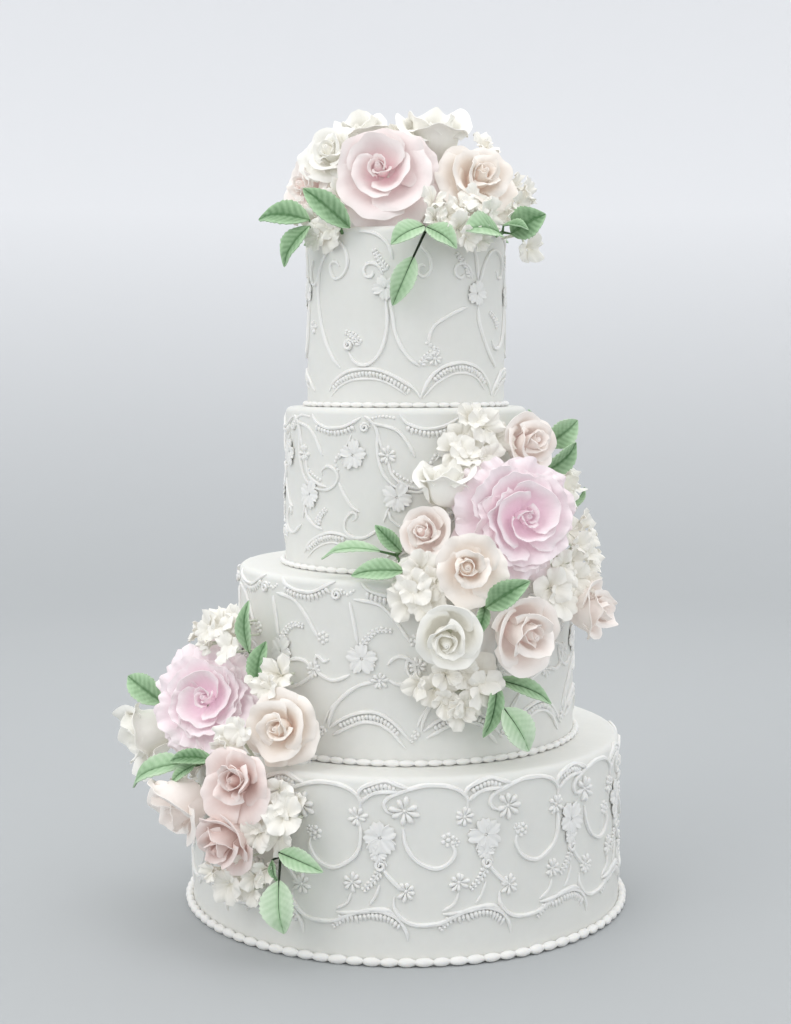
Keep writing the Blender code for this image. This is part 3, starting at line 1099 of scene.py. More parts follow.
@dataclass(frozen=True)
class Scrollwork:
    """The piping on one tier: a pattern of strokes repeated round its wall."""

    tier: Tier
    repeats: int
    strokes: tuple[Stroke, ...]
    line_radius: float

    def build(self, larder: Larder) -> Object:
        """Pipes every stroke flat, then wraps them round the tier.

        Args:
            larder: Where the finishes are.

        Returns:
            The scrollwork.
        """
        width = bay_width(self.tier, self.repeats)
        dice = np.random.default_rng(len(self.strokes) + self.repeats)
        strands: list[Strand] = []
        plates: list[Plate] = []
        for repeat in range(self.repeats):
            for stroke in self.strokes:
                here = stroke.shifted(width * (repeat - self.repeats // 2) + dice.normal(0.0, 0.25))
                if stroke.mark is Mark.CUTOUT:
                    (s, z), size = here.points[0], here.size
                    plates.append((s, z, size, dice.uniform(0.0, 72.0)))
                    strands.extend(self._dots((s, z), size * 0.2, 5))
                else:
                    strands.extend(self._pipe(here, dice))
        parts = [tube_piece("piping", 1.0, 1, strands)]
        if plates:
            parts.append(self._plates(plates, dice))
        work = join(parts, f"scrolls_{self.tier.name}")
        self._wrap(work)
        turn_faces_out(work)
        dress(work, larder.icing, SOFT_EDGE)
        return work

    def _pipe(self, stroke: Stroke, dice: np.random.Generator) -> list[Strand]:
        """The tubes that one stroke is piped as.

        Args:
            stroke: The stroke.
            dice: The source of its unevenness.

        Returns:
            Centre lines with their radii.
        """
        kind = stroke.mark
        if kind is Mark.LINE:
            return [self._line(stroke.points, self.line_radius, dice)]
        if kind is Mark.FINE:
            return [self._line(stroke.points, self.line_radius * 0.68, dice)]
        if kind is Mark.BEADS:
            radius = stroke.size
            path = through(stroke.points, radius * 2.0)
            return [self._bead(point, radius * dice.uniform(0.85, 1.1)) for point in path]
        if kind is Mark.COMB:
            return self._comb(stroke, dice)
        if kind is Mark.FERN:
            return self._fern(stroke, dice)
        if kind is Mark.DAISY:
            return self._daisy(stroke.points[0], stroke.size, dice)
        if kind is Mark.SWIRL:
            return [self._swirl(stroke.points[0], stroke.size)]
        return self._dots(stroke.points[0], stroke.size, 6)

    def _lift(self, path: np.ndarray, radii: np.ndarray) -> np.ndarray:
        """Puts a tube's centre line just off the icing, so that it sticks by its back."""
        return np.column_stack([path, radii * 0.3])

    def _line(self, points: tuple[Pair, ...], radius: float, dice: np.random.Generator) -> Strand:
        """A piped line whose ends are drawn out thin.

        Args:
            points: The points it passes.
            radius: Its radius in mm.
            dice: The source of its unevenness.

        Returns:
            Its centre line with radii.
        """
        path = through(points, 2.4)
        share = np.linspace(0.0, 1.0, len(path))
        ends = 0.45 + 0.55 * ease(np.minimum(share, 1.0 - share) / 0.1)
        waver = 1.0 + 0.06 * np.sin(share * len(path) * 0.7 + dice.uniform(0.0, 6.0))
        radii = radius * ends * waver
        return self._lift(path, radii), radii

    def _bead(self, point: np.ndarray | Pair, radius: float) -> Strand:
        """A dot of icing, standing off the wall.

        Args:
            point: Where it is.
            radius: Its radius in mm.

        Returns:
            Its centre line with radii.
        """
        s, z = point
        levels = np.array([-0.5, 0.0, 0.45, 0.73]) * radius
        radii = np.array([0.95, 1.0, 0.8, 0.4]) * radius
        path = np.column_stack([np.full(4, s), np.full(4, z), levels])
        return path, radii

    def _drop(self, start: np.ndarray, way: np.ndarray, length: float, thick: float) -> Strand:
        """A drop of icing: a round head at the start, drawn out to a tail.

        Args:
            start: Where the head is.
            way: The direction of the tail.
            length: The drop's length in mm.
            thick: The head's radius in mm.

        Returns:
            Its centre line with radii.
        """
        share = np.array([0.0, 0.16, 0.42, 0.72, 1.0])
        radii = np.array([0.45, 0.95, 1.0, 0.62, 0.2]) * thick
        path = start + np.outer(share * length, way)
        return self._lift(path, radii), radii

    def _comb(self, stroke: Stroke, dice: np.random.Generator) -> list[Strand]:
        """Drops side by side under a line, each leaning a little.

        Args:
            stroke: The stroke.
            dice: The source of its unevenness.

        Returns:
            Centre lines with their radii.
        """
        length = stroke.size
        path = through(stroke.points, 2.95)
        tangents = np.gradient(path, axis=0)
        found = []
        for point, tangent in zip(path, tangents):
            along = unit(tangent)
            down = np.array([along[1], -along[0]])
            if down[1] > 0.0:
                down = -down
            way = down + along * 0.22
            way = way / np.hypot(*way)
            found.append(self._drop(point, way, length * dice.uniform(0.85, 1.2), dice.uniform(1.45, 1.75)))
        return found

    def _fern(self, stroke: Stroke, dice: np.random.Generator) -> list[Strand]:
        """A fine stem with drops on both sides, shorter towards its tip.

        Args:
            stroke: The stroke.
            dice: The source of its unevenness.

        Returns:
            Centre lines with their radii.
        """
        length = stroke.size
        path = through(stroke.points, 3.0)
        tangents = np.gradient(path, axis=0)
        found = [self._line(stroke.points, 0.9, dice)]
        last = max(len(path) - 1, 1)
        for i, (point, tangent) in enumerate(zip(path, tangents)):
            along = unit(tangent)
            over = np.array([-along[1], along[0]])
            for side in (-1.0, 1.0):
                way = along * 0.75 + over * side * 0.8
                way = way / np.hypot(*way)
                reach = length * (1.0 - 0.45 * i / last) * dice.uniform(0.9, 1.1)
                start = point + way * reach
                found.append(self._drop(start, -way, reach, 1.3))
        return found

    def _daisy(self, centre: Pair, radius: float, dice: np.random.Generator) -> list[Strand]:
        """Drops with their heads outwards round a small bead.

        Args:
            centre: Where it is.
            radius: Its radius in mm.
            dice: The source of its unevenness.

        Returns:
            Centre lines with their radii.
        """
        petals = 8
        start = dice.uniform(0.0, 45.0)
        found = [self._bead(centre, 1.5)]
        for number in range(petals):
            angle = math.radians(start + 360.0 * number / petals + dice.normal(0.0, 7.0))
            way = np.array([math.cos(angle), math.sin(angle)])
            reach = 0.88 * radius * dice.uniform(0.82, 1.1)
            head = np.array(centre) + way * reach
            found.append(self._drop(head, -way, reach * 0.85, 0.13 * radius + 0.55))
        return found

    def _swirl(self, centre: Pair, radius: float) -> Strand:
        """A small rosette piped in one turn and a half.

        Args:
            centre: Where it is.
            radius: Its radius in mm.

        Returns:
            Its centre line with radii.
        """
        share = np.linspace(0.0, 1.0, 16)
        angle = share * 3.2 * math.pi
        reach = radius * (1.0 - 0.8 * share)
        path = np.column_stack([centre[0] + reach * np.cos(angle), centre[1] + reach * np.sin(angle)])
        radii = (0.36 * radius) * (0.55 + 0.45 * np.sin(math.pi * np.clip(share * 1.1, 0.0, 1.0)))
        lifted = np.column_stack([path, radii * 0.4 + share * radius * 0.25])
        return lifted, radii

    def _dots(self, centre: Pair, radius: float, count: int) -> list[Strand]:
        """Dots in a ring round one in the middle.

        Args:
            centre: Where it is.
            radius: Its radius in mm.
            count: How many are in the ring.

        Returns:
            Centre lines with their radii.
        """
        found = [self._bead(centre, radius * 0.55)]
        for number in range(count):
            angle = 2.0 * math.pi * number / count + centre[0]
            point = (centre[0] + radius * math.cos(angle), centre[1] + radius * math.sin(angle))
            found.append(self._bead(point, radius * 0.5))
        return found

    def _plates(self, plates: list[Plate], dice: np.random.Generator) -> Object:
        """Thin cut-out blossoms, laid flat.

        Args:
            plates: Where each one is along and up the wall, its radius and its turn.
            dice: The source of their unevenness.

        Returns:
            The mesh object, in units of mm.
        """
        mould = SheetMould(9, 5)
        sheets = []
        for s, z, size, turn in plates:
            for number in range(5):
                angle = math.radians(turn + 72.0 * number + dice.normal(0.0, 5.0))
                long = size * dice.uniform(0.9, 1.12)
                phase = dice.uniform(0.0, 6.28)

                def petal(u: np.ndarray, v: np.ndarray) -> tuple[np.ndarray, np.ndarray]:
                    """A round petal with a soft hollow along its middle."""
                    edge = 1.0 - 0.17 * np.abs(u[None, :]) ** 2.2 + 0.10 * np.sin(7.5 * u[None, :] + phase)
                    reach = long * (0.10 + 0.90 * v[:, None] * edge)
                    swell = np.sin(np.clip(v[:, None] / 0.66, 0.0, 1.0) * 1.5708)
                    half = size * 0.42 * (0.30 + 0.70 * swell)
                    side = half * u[None, :]
                    off = 0.7 + 0.55 * np.sin(v[:, None] * 2.6) + 0.45 * np.abs(u[None, :]) ** 1.5
                    off = off + 0 * side
                    off = off + 0.3 * v[:, None] * np.sin(7.0 * u[None, :] + phase)
                    x = s + reach * math.cos(angle) - side * math.sin(angle)
                    y = z + reach * math.sin(angle) + side * math.cos(angle)
                    return np.stack([x, y, off], axis=2), np.ones_like(x)

                sheets.append(mould.cast("cutout", petal))
        mould.clear()
        plate = join(sheets, "cutouts")
        thicken(plate, CUTOUT_ROLLED / MM)
        return plate

    def _wrap(self, obj: Object) -> None:
        """Takes the flat piping in mm round the tier, in metres."""
        write_points(obj.data, self.tier.wrap(read_points(obj.data)))


class SheetMould:
    """A flat grid from which thin sheets are cast, each with its own mesh."""

    def __init__(self, columns: int, rows: int) -> None:
        """Adds the grid.

        Args:
            columns: Faces across.
            rows: Faces along.
        """
        deselect_all()
        bpy.ops.mesh.primitive_grid_add(x_subdivisions=columns, y_subdivisions=rows, size=2.0)
        self.pattern = bpy.context.active_object
        points = read_points(self.pattern.data).round(5)
        across = np.unique(points[:, 0])
        along = np.unique(points[:, 1])
        self.column = np.searchsorted(across, points[:, 0])
        self.row = np.searchsorted(along, points[:, 1])
        self.u = across
        self.v = (along + 1.0) / 2.0

    def cast(self, name: str, form: Grid, matrix: Matrix | None = None) -> Object:
        """Casts one sheet.

        Args:
            name: The sheet's name.
            form: Gives the points and the tone for every row and column.
            matrix: Where the sheet goes, in metres.

        Returns:
            The sheet as an object of its own.
        """
        points, tone = form(self.u, self.v)
        mesh = self.pattern.data.copy()
        flat = points[self.row, self.column]
        mesh.vertices.foreach_set("co", flat.astype(np.float32).ravel())
        across = self.u[self.column] * 0.9 + 5.0 * float(np.abs(flat[:, 0]).mean() * 7.3 % 1.0)
        for label, values in ((TONE, tone[self.row, self.column]), (GRAIN, across)):
            shade = mesh.attributes.new(label, "FLOAT", "POINT")
            shade.data.foreach_set("value", values.astype(np.float32))
        if matrix is not None:
            mesh.transform(matrix)
        mesh.update()
        return show(bpy.data.objects.new(name, mesh))

    def clear(self) -> None:
        """Takes the grid out of the scene."""
        bpy.data.objects.remove(self.pattern)


# ------------------------------------------------------------------ sugar flowers
@dataclass(frozen=True)
class PetalRing:
    """One ring of like petals, in shares of the flower's radius and in degrees.

    The headings are the petal's slope from its root to its rim: 0 lies open, 90 stands up and more
    leans in. The roll turns the rim over outwards, and corner is how much of it only the petal's two
    corners get.
    """

    count: int
    half_angle: float
    root: Pair
    length: float
    headings: tuple[float, float, float, float]
    roll: float = 60.0
    ruffle: float = 0.0
    waves: float = 2.5
    point: float = 0.05
    tuck: float = 0.05
    turn: float = 0.0
    shade: float = 0.3
    round_off: float = 0.20
    uneven: float = 1.0
    corner: float = 0.65

    def form(self, number: int, dice: np.random.Generator) -> Grid:
        """Shapes one petal of the ring.

        Args:
            number: Which petal.
            dice: The source of its unevenness.

        Returns:
            A function of the sheet's columns and rows.
        """
        lean = dice.normal(0.0, 5.5) * self.uneven
        stretch = 1.0 + dice.normal(0.0, 0.045) * self.uneven
        swing = dice.normal(0.0, 6.0) * self.uneven
        phases = dice.uniform(0.0, 2.0 * math.pi, 3)
        skew = dice.normal(0.0, 0.10) * self.uneven

        def surface(u: np.ndarray, v: np.ndarray) -> tuple[np.ndarray, np.ndarray]:
            """The petal's points, in shares of the radius, and their tones."""
            side = np.abs(u)
            rows = v[:, None]
            peak = np.exp(-(((u - skew) / 0.24) ** 2))
            ragged = 0.016 * np.sin(9.0 * u + phases[2]) + 0.010 * np.sin(17.0 * u + phases[1])
            outline = 1.0 - self.round_off * side**2.4 + self.point * peak + self.uneven * ragged
            length = self.length * stretch * outline
            slope = np.interp(v, (0.0, 1 / 3, 2 / 3, 1.0), self.headings) + lean * v
            start = 0.74 - 0.12 * side
            rolled = self.roll * (1.0 - self.corner + self.corner * side**1.5) * (1.0 - 0.5 * peak)
            rolled = rolled * ease((rows - start) / (1.0 - start))
            angle = np.radians(slope[:, None] - rolled)
            step = np.diff(v, prepend=0.0)[:, None] * length
            reach = self.root[0] + np.cumsum(self._between(np.cos(angle)) * step, axis=0)
            rise = self.root[1] + np.cumsum(self._between(np.sin(angle)) * step, axis=0)
            wave = np.sin(self.waves * math.pi * u + phases[0])
            wave = wave + 0.35 * np.sin(1.7 * self.waves * math.pi * u + phases[1])
            frill = 0.45 * np.sin(3.1 * self.waves * math.pi * u + phases[2]) * rows**9
            push = self.ruffle * (wave * rows**2.4 + frill)
            push = push + 0.012 * np.sin(2.0 * u + 3.0 * rows + phases[2]) * rows
            reach = reach - np.sin(angle) * push + self.tuck * u
            rise = rise + np.cos(angle) * push
            width = 0.42 + 0.58 * np.sin(np.clip(rows / 0.55, 0.0, 1.0) * math.pi / 2.0)
            width = width - 0.10 * ease((rows - 0.8) / 0.2)
            middle = self.turn + 360.0 * number / self.count + swing
            around = np.radians(middle + self.half_angle * width * u)
            points = np.stack([reach * np.cos(around), reach * np.sin(around), rise], axis=2)
            # The tone runs from the heart colour at the root to the rim colour; the deep root is partly the
            # paste's dusting and partly painted shade where the petals overlap.
            tone = self.shade + (1.0 - self.shade) * rows**1.7 * (0.8 + 0.2 * side)
            return points, np.clip(tone, 0.0, 1.0)

        return surface

    def _between(self, values: np.ndarray) -> np.ndarray:
        """The mean of each row and the one before it."""
        before = np.vstack([values[:1], values[:-1]])
        return (values + before) / 2.0


@dataclass(frozen=True)
class Bud:
    """The flower's heart: one strip wound up, closing towards its top."""

    radius: float
    top: float
    foot: float = -0.35
    turns: float = 2.4
    close: float = 0.45

    def form(self, dice: np.random.Generator) -> Grid:
        """Shapes the strip.

        Args:
            dice: The source of its unevenness.

        Returns:
            A function of the sheet's columns and rows.
        """
        start = dice.uniform(0.0, 2.0 * math.pi)

        def surface(u: np.ndarray, v: np.ndarray) -> tuple[np.ndarray, np.ndarray]:
            """The strip's points, in shares of the flower's radius, and their tones."""
            share = (u + 1.0) / 2.0
            rows = v[:, None]
            lip = np.exp(-share / 0.05)
            reach = self.radius * (1.0 - 0.86 * share**0.9 + 0.10 * lip)
            narrow = 1.0 - self.close * ease((rows - 0.45) / 0.55) * (1.0 - 0.7 * lip)
            narrow = narrow * (0.82 + 0.18 * np.sin(math.pi * np.clip(rows * 0.9, 0.0, 1.0)))
            top = self.top + 0.10 * self.radius * share - 0.25 * self.radius * lip
            rise = self.foot + (top - self.foot) * rows
            around = start + 2.0 * math.pi * self.turns * share
            flat = reach[None, :] * narrow
            points = np.stack([flat * np.cos(around), flat * np.sin(around), rise + 0 * flat], axis=2)
            # The bud takes the deep heart colour, partly painted shade, and pales towards its top.
            tone = 0.10 + 0.45 * rows**3 + 0 * flat
            return points, tone

        return surface


@dataclass(frozen=True)
class BloomShape:
    """A kind of flower: its bud, its rings from the heart outwards and its petals' thickness in mm.

    The depth is how far behind the middle the calyx is, in shares of the radius.
    """

    bud: Bud
    rings: tuple[PetalRing, ...]
    thickness: float
    depth: float


class Bloom(Enum):
    """The kinds of sugar flower."""

    ROSE = "open rose"
    FULL_ROSE = "open rose with one more ring"
    CUPPED = "cupped rose"
    TULIP = "rose just opening"
    PEONY = "peony"
    GARDEN = "garden rose"


SHAPES = {
    Bloom.ROSE: BloomShape(
        Bud(0.27, 0.4, close=0.6),
        (
            PetalRing(3, 86.0, (0.14, -0.45), 0.84, (66, 82, 92, 84), 40.0, 0.012, 1.4, 0.1, shade=0.05),
            PetalRing(
                3, 80.0, (0.12, -0.5), 0.98, (50, 72, 84, 60), 95.0, 0.045, 2.0, 0.12, 0.06, 50.0, 0.14,
                0.16, 1.2, 0.75,
            ),
            PetalRing(
                5, 66.0, (0.1, -0.55), 1.13, (26, 42, 38, 12), 48.0, 0.05, 1.5, 0.05, 0.07, 20.0, 0.36,
                0.2, 1.2, 0.45,
            ),
        ),
        0.5,
        0.8,
    ),
    Bloom.FULL_ROSE: BloomShape(
        Bud(0.22, 0.38, close=0.6),
        (
            PetalRing(3, 86.0, (0.12, -0.45), 0.82, (66, 82, 92, 84), 40.0, 0.012, 1.4, 0.1, shade=0.05),
            PetalRing(
                3, 80.0, (0.1, -0.5), 0.95, (52, 74, 84, 60), 90.0, 0.025, 1.3, 0.14, 0.06, 50.0, 0.12,
                0.16, 1.2, 0.8,
            ),
            PetalRing(
                3, 84.0, (0.1, -0.52), 1.06, (32, 52, 62, 38), 60.0, 0.035, 1.4, 0.08, 0.07, 15.0, 0.26,
                0.18, 1.2, 0.6,
            ),
            PetalRing(
                5, 66.0, (0.1, -0.55), 1.1, (20, 36, 30, 4), 46.0, 0.05, 1.6, 0.04, 0.07, 35.0, 0.42, 0.2,
                1.2, 0.4,
            ),
        ),
        0.5,
        0.8,
    ),
    Bloom.CUPPED: BloomShape(
        Bud(0.22, 0.6, -0.4, 2.9, 0.55),
        (
            PetalRing(3, 86.0, (0.12, -0.55), 1.2, (66, 84, 94, 86), 35.0, 0.01, 1.4, 0.08, shade=0.08),
            PetalRing(
                3, 84.0, (0.12, -0.6), 1.26, (46, 72, 90, 70), 90.0, 0.02, 1.4, 0.12, 0.06, 50.0, 0.2,
                0.18, 1.0, 0.75,
            ),
            PetalRing(
                4, 78.0, (0.12, -0.68), 1.36, (8, 52, 76, 46), 56.0, 0.03, 1.3, 0.04, 0.08, 10.0, 0.38,
                0.2, 0.8, 0.4,
            ),
        ),
        0.5,
        1.04,
    ),
    Bloom.TULIP: BloomShape(
        Bud(0.14, 0.3, -0.4),
        (
            PetalRing(3, 70.0, (0.08, -0.6), 0.98, (40, 82, 98, 84), 20.0, 0.03, 1.4, 0.12, shade=0.15),
            PetalRing(
                3, 82.0, (0.1, -0.62), 1.3, (22, 72, 94, 72), 60.0, 0.035, 1.4, 0.08, 0.06, 60.0, 0.3,
            ),
            PetalRing(
                3, 88.0, (0.12, -0.66), 1.44, (6, 62, 86, 52), 85.0, 0.045, 1.4, 0.06, 0.09, 15.0, 0.45,
                0.2, 1.0, 0.4,
            ),
        ),
        0.5,
        1.04,
    ),
    Bloom.PEONY: BloomShape(
        Bud(0.1, 0.04),
        (
            PetalRing(3, 82.0, (0.06, -0.36), 0.46, (64, 80, 92, 84), 50.0, 0.012, 1.5, 0.08, shade=0.0),
            PetalRing(
                3, 88.0, (0.06, -0.38), 0.72, (22, 46, 66, 66), 20.0, 0.03, 1.6, 0.04, 0.08, 30.0, 0.02,
                0.14, 1.2, 0.2,
            ),
            PetalRing(
                4, 80.0, (0.08, -0.4), 0.82, (14, 34, 50, 44), 18.0, 0.05, 2.6, 0.04, 0.08, 85.0, 0.16,
                0.12, 1.7, 0.2,
            ),
            PetalRing(
                6, 58.0, (0.1, -0.42), 0.9, (10, 24, 36, 20), 16.0, 0.06, 3.0, 0.05, 0.07, 5.0, 0.34,
                0.16, 1.9, 0.4,
            ),
            PetalRing(
                8, 50.0, (0.12, -0.44), 0.96, (6, 14, 18, 2), 16.0, 0.065, 3.1, 0.05, 0.06, 30.0, 0.48,
                0.16, 1.9, 0.4,
            ),
        ),
        0.4,
        0.64,
    ),
    Bloom.GARDEN: BloomShape(
        Bud(0.15, 0.14, close=0.55),
        (
            PetalRing(3, 84.0, (0.08, -0.38), 0.54, (66, 82, 92, 80), 50.0, 0.012, 1.4, 0.1, shade=0.0),
            PetalRing(
                3, 86.0, (0.07, -0.4), 0.84, (24, 46, 62, 52), 34.0, 0.03, 1.5, 0.08, 0.08, 50.0, 0.1,
                0.16, 1.4, 0.3,
            ),
            PetalRing(
                4, 80.0, (0.09, -0.42), 1.0, (14, 30, 38, 22), 26.0, 0.04, 2.0, 0.05, 0.08, 10.0, 0.28,
                0.18, 1.4, 0.3,
            ),
            PetalRing(
                6, 60.0, (0.12, -0.46), 1.01, (6, 14, 8, -16), 26.0, 0.05, 2.4, 0.04, 0.06, 0.0, 0.5, 0.2,
                1.4, 0.4,
            ),
        ),
        0.45,
        0.64,
    ),
}


@dataclass(frozen=True)
class SugarFlower:
    """One flower on its wire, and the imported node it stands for."""

    node: str
    bloom: Bloom
    paste: Paste
    where: Triple
    radius: float
    face: Pair
    heart: Pair = (0.0, 0.0)
    spin: float = 0.0

    def build(self, larder: Larder, moulds: "Moulds") -> Object:
        """Casts the petals ring by ring and sets them on a calyx and a wire.

        Args:
            larder: Where the finishes are.
            moulds: The grids to cast from.

        Returns:
            The flower.
        """
        shape = SHAPES[self.bloom]
        dice = dice_for(self.node, 7)
        centre = place(*self.where)
        direction = facing(*self.face)
        sheets = [moulds.strip.cast("bud", shape.bud.form(dice), self._seat(centre, direction, 1.0))]
        mould = moulds.frilled if self.bloom is Bloom.PEONY else moulds.petal
        for level, ring in enumerate(shape.rings):
            matrix = self._seat(centre, direction, 1.0 - level / (len(shape.rings) - 1))
            for number in range(ring.count):
                sheets.append(mould.cast("petal", ring.form(number, dice), matrix))
        wire = taped_wires([self._stem(centre, direction, shape.depth)], larder.calyx)
        return sugar_piece(self.node, sheets, shape.thickness, SOFT_EDGE, larder.pastes[self.paste], wire)

    def _seat(self, centre: Vector, direction: Vector, share: float) -> Matrix:
        """Where a ring of petals sits.

        Args:
            centre: The flower's middle in mm.
            direction: Which way it faces.
            share: How much of the heart's shift the ring gets.

        Returns:
            The matrix from shares of the radius to metres.
        """
        shift = Matrix.Translation((self.heart[0] * share, self.heart[1] * share, 0.0))
        turned = Matrix.Rotation(math.radians(self.spin), 4, "Z")
        upright = Matrix.Scale(MM, 4) @ face_matrix(centre, direction, 0.0)
        return upright @ Matrix.Scale(self.radius, 4) @ shift @ turned

    def _stem(self, centre: Vector, direction: Vector, depth: float) -> Route:
        """The wire from inside the flower to the icing, thick where it is taped to the calyx.

        Args:
            centre: The flower's middle in mm.
            direction: Which way it faces.
            depth: How far behind the middle the calyx is, in shares of the radius.

        Returns:
            Points in mm with the wire's radius there.
        """
        upright = face_matrix(centre, direction, 0.0)
        calyx = upright @ (Vector((*self.heart, -1.2)) * (self.radius * 0.5))
        back = centre - direction * (self.radius * depth * 0.82)
        distance = (back - nearest_icing(back)).length
        bend = back - direction * (0.4 * distance)
        end = nearest_icing(bend)
        middle = (back + 2.0 * bend + end) / 4.0
        return [
            (calyx, self.radius * 0.08),
            (centre - direction * (self.radius * 0.66), self.radius * 0.15),
            (back, 1.8),
            (middle, 1.1),
            (end, 1.0),
        ]


def taped_wires(routes: list[Route], finish: Material) -> Object:
    """Makes several wires one piece.

    Args:
        routes: The points in mm and the radii of each.
        finish: What they are covered in.

    Returns:
        The wires.
    """
    strands = [
        (np.array([point * MM for point, _ in route]), np.array([radius for _, radius in route]))
        for route in routes
    ]
    made = tube_piece("wire", MM, 2, strands)
    turn_faces_out(made)
    dress(made, finish, SOFT_EDGE)
    return made


def sugar_piece(
    node: str, sheets: list[Object], thickness: float, angle: float, paste: Material, wires: Object
) -> Object:
    """Joins sheets of sugar paste and their wires into one piece.

    Args:
        node: The name the piece goes by.
        sheets: The thin sheets.
        thickness: How thick they are rolled, in mm.
        angle: The angle in degrees up to which they are smoothed.
        paste: Their finish.
        wires: The wires, already made.

    Returns:
        The piece.
    """
    rolled = join(sheets, f"{node}_paste")
    thicken(rolled, thickness)
    dress(rolled, paste, angle)
    return join([rolled, wires], f"{node}_sugar")


class Moulds:
    """The grids that every sheet of sugar paste is cast from."""

    def __init__(self) -> None:
        """Adds one grid for each kind of sheet."""
        self.strip = SheetMould(64, 10)
        self.petal = SheetMould(24, 16)
        self.frilled = SheetMould(36, 15)
        self.small = SheetMould(9, 7)
        self.leaf = SheetMould(10, 40)

    def clear(self) -> None:
        """Takes the grids out of the scene."""
        for mould in (self.strip, self.petal, self.frilled, self.small, self.leaf):
            mould.clear()


# ------------------------------------------------------------------ small blossoms
@dataclass(frozen=True)
class BlossomSpray:
    """Small white blossoms on wires that meet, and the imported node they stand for.

    The fillers' wires go straight into the icing instead of to the joint.
    """

    node: str
    joint: Triple
    blossoms: tuple[Spot, ...]
    fillers: tuple[Spot, ...] = ()
    radius: float = 12.3

    def build(self, larder: Larder, moulds: Moulds) -> Object:
        """Casts each blossom's petals and joins the wires.

        Args:
            larder: Where the finishes are.
            moulds: The grids to cast from.

        Returns:
            The spray.
        """
        dice = dice_for(self.node, 3)
        joint = place(*self.joint)
        sheets = []
        routes = []
        for number, (angle, reach, height, turn, lift) in enumerate((*self.blossoms, *self.fillers)):
            centre = place(angle, reach, height)
            direction = facing(turn + dice.normal(0.0, 9.0), lift + dice.normal(0.0, 9.0))
            size = self.radius * dice.uniform(0.82, 1.22)
            spin = dice.uniform(0.0, 72.0)
            matrix = Matrix.Scale(MM, 4) @ face_matrix(centre, direction, spin) @ Matrix.Scale(size, 4)
            ring = self._petals(dice)
            for petal in range(ring.count):
                sheets.append(moulds.small.cast("petal", ring.form(petal, dice), matrix))
            back = centre - direction * (size * 0.30)
            end = joint if number < len(self.blossoms) else nearest_icing(back)
            routes.append([(back, 1.4), (back.lerp(end, 0.4), 0.8), (end, 0.9)])
        routes.append([(joint, 1.6), (nearest_icing(joint), 1.0)])
        wires = taped_wires(routes, larder.calyx)
        return sugar_piece(self.node, sheets, ROLLED, SOFT_EDGE, larder.pastes[Paste.BLOSSOM], wires)

    def _petals(self, dice: np.random.Generator) -> PetalRing:
        """One open or half-open ring of round petals.

        Args:
            dice: The source of its unevenness.

        Returns:
            The ring.
        """
        shut = float(dice.choice([0.0, 6.0, 14.0, 26.0]))
        return PetalRing(
            int(dice.integers(4, 6)),
            47.0,
            (0.05, -0.33),
            1.14,
            (56.0 + shut, 37.0 + shut, 20.0 + shut, -4.0 + shut),
            roll=16.0,
            ruffle=0.115,
            waves=2.0,
            point=0.11,
            tuck=0.08,
            shade=0.3,
            round_off=0.22,
            uneven=2.2,
        )


# ------------------------------------------------------------------ leaves
@dataclass(frozen=True)
class Leaf:
    """One leaf: its base and tip as places round the cake, its width and which way it faces."""

    base: Triple
    tip: Triple
    width: float
    face: Pair
    shade: float = 0.0

    def axes(self) -> tuple[Vector, Vector, Vector, Vector]:
        """The base, the way from it to the tip, and the leaf's side and normal directions."""
        start = place(*self.base)
        along = place(*self.tip) - start
        side = along.cross(facing(*self.face)).normalized()
        return start, along, side, side.cross(along).normalized()

    def spine(self, share: float) -> Vector:
        """A point just above the midrib.

        Args:
            share: How far from the base to the tip.

        Returns:
            The point in mm.
        """
        start, along, _, normal = self.axes()
        arch = 0.10 * math.sin(math.pi * share) - 0.05 * float(ease((share - 0.7) / 0.3))
        return start + along * share + normal * (along.length * arch + 0.1)

    def form(self, dice: np.random.Generator) -> Grid:
        """Shapes the leaf.

        Args:
            dice: The source of its unevenness.

        Returns:
            A function of the sheet's columns and rows, in metres.
        """
        start, along, side, normal = self.axes()
        length = along.length
        phase = dice.uniform(0.0, 2.0 * math.pi, 2)

        def surface(u: np.ndarray, v: np.ndarray) -> tuple[np.ndarray, np.ndarray]:
            """The leaf's points in metres and their tones."""
            rows = v[:, None]
            edge = np.abs(u)[None, :]
            outline = np.sin(math.pi * np.clip(rows, 0.001, 0.999) ** 0.85) ** 0.8
            teeth = 11.0
            notch = 1.0 - 0.12 * edge**3 * ((rows * teeth) % 1.0) * outline
            half = self.width / 2.0 * outline * notch + 0.25
            fold = 0.28 * half * edge**1.3
            vein_phase = rows * 8.0 - edge * 1.5
            vein = np.cos(2.0 * math.pi * vein_phase)
            relief = 0.17 * vein * ease(edge / 0.3) * outline - 0.45 * np.exp(-((edge / 0.09) ** 2))
            wave = 0.45 * edge**2 * np.sin(9.0 * rows + phase[0] + np.sign(u)[None, :] * 1.4)
            arch = length * (0.10 * np.sin(math.pi * rows) - 0.05 * ease((rows - 0.7) / 0.3))
            lift = arch + fold + relief + wave
            spread = half * u[None, :]
            points = np.array(start) + np.array(along) * rows[:, :, None]
            points = points + np.array(side) * spread[:, :, None] + np.array(normal) * lift[:, :, None]
            # Painted shade: darker in the vein grooves and much darker along the midrib groove, following
            # the relief above.
            tone = 0.50 + self.shade + 0.34 * edge**2.5 + 0.08 * vein * ease(edge / 0.25)
            tone = tone - 0.30 * np.exp(-((edge / 0.09) ** 2)) + 0.05 * np.sin(5.0 * rows + phase[1])
            return points * MM, np.clip(tone, 0.0, 1.0)

        return surface


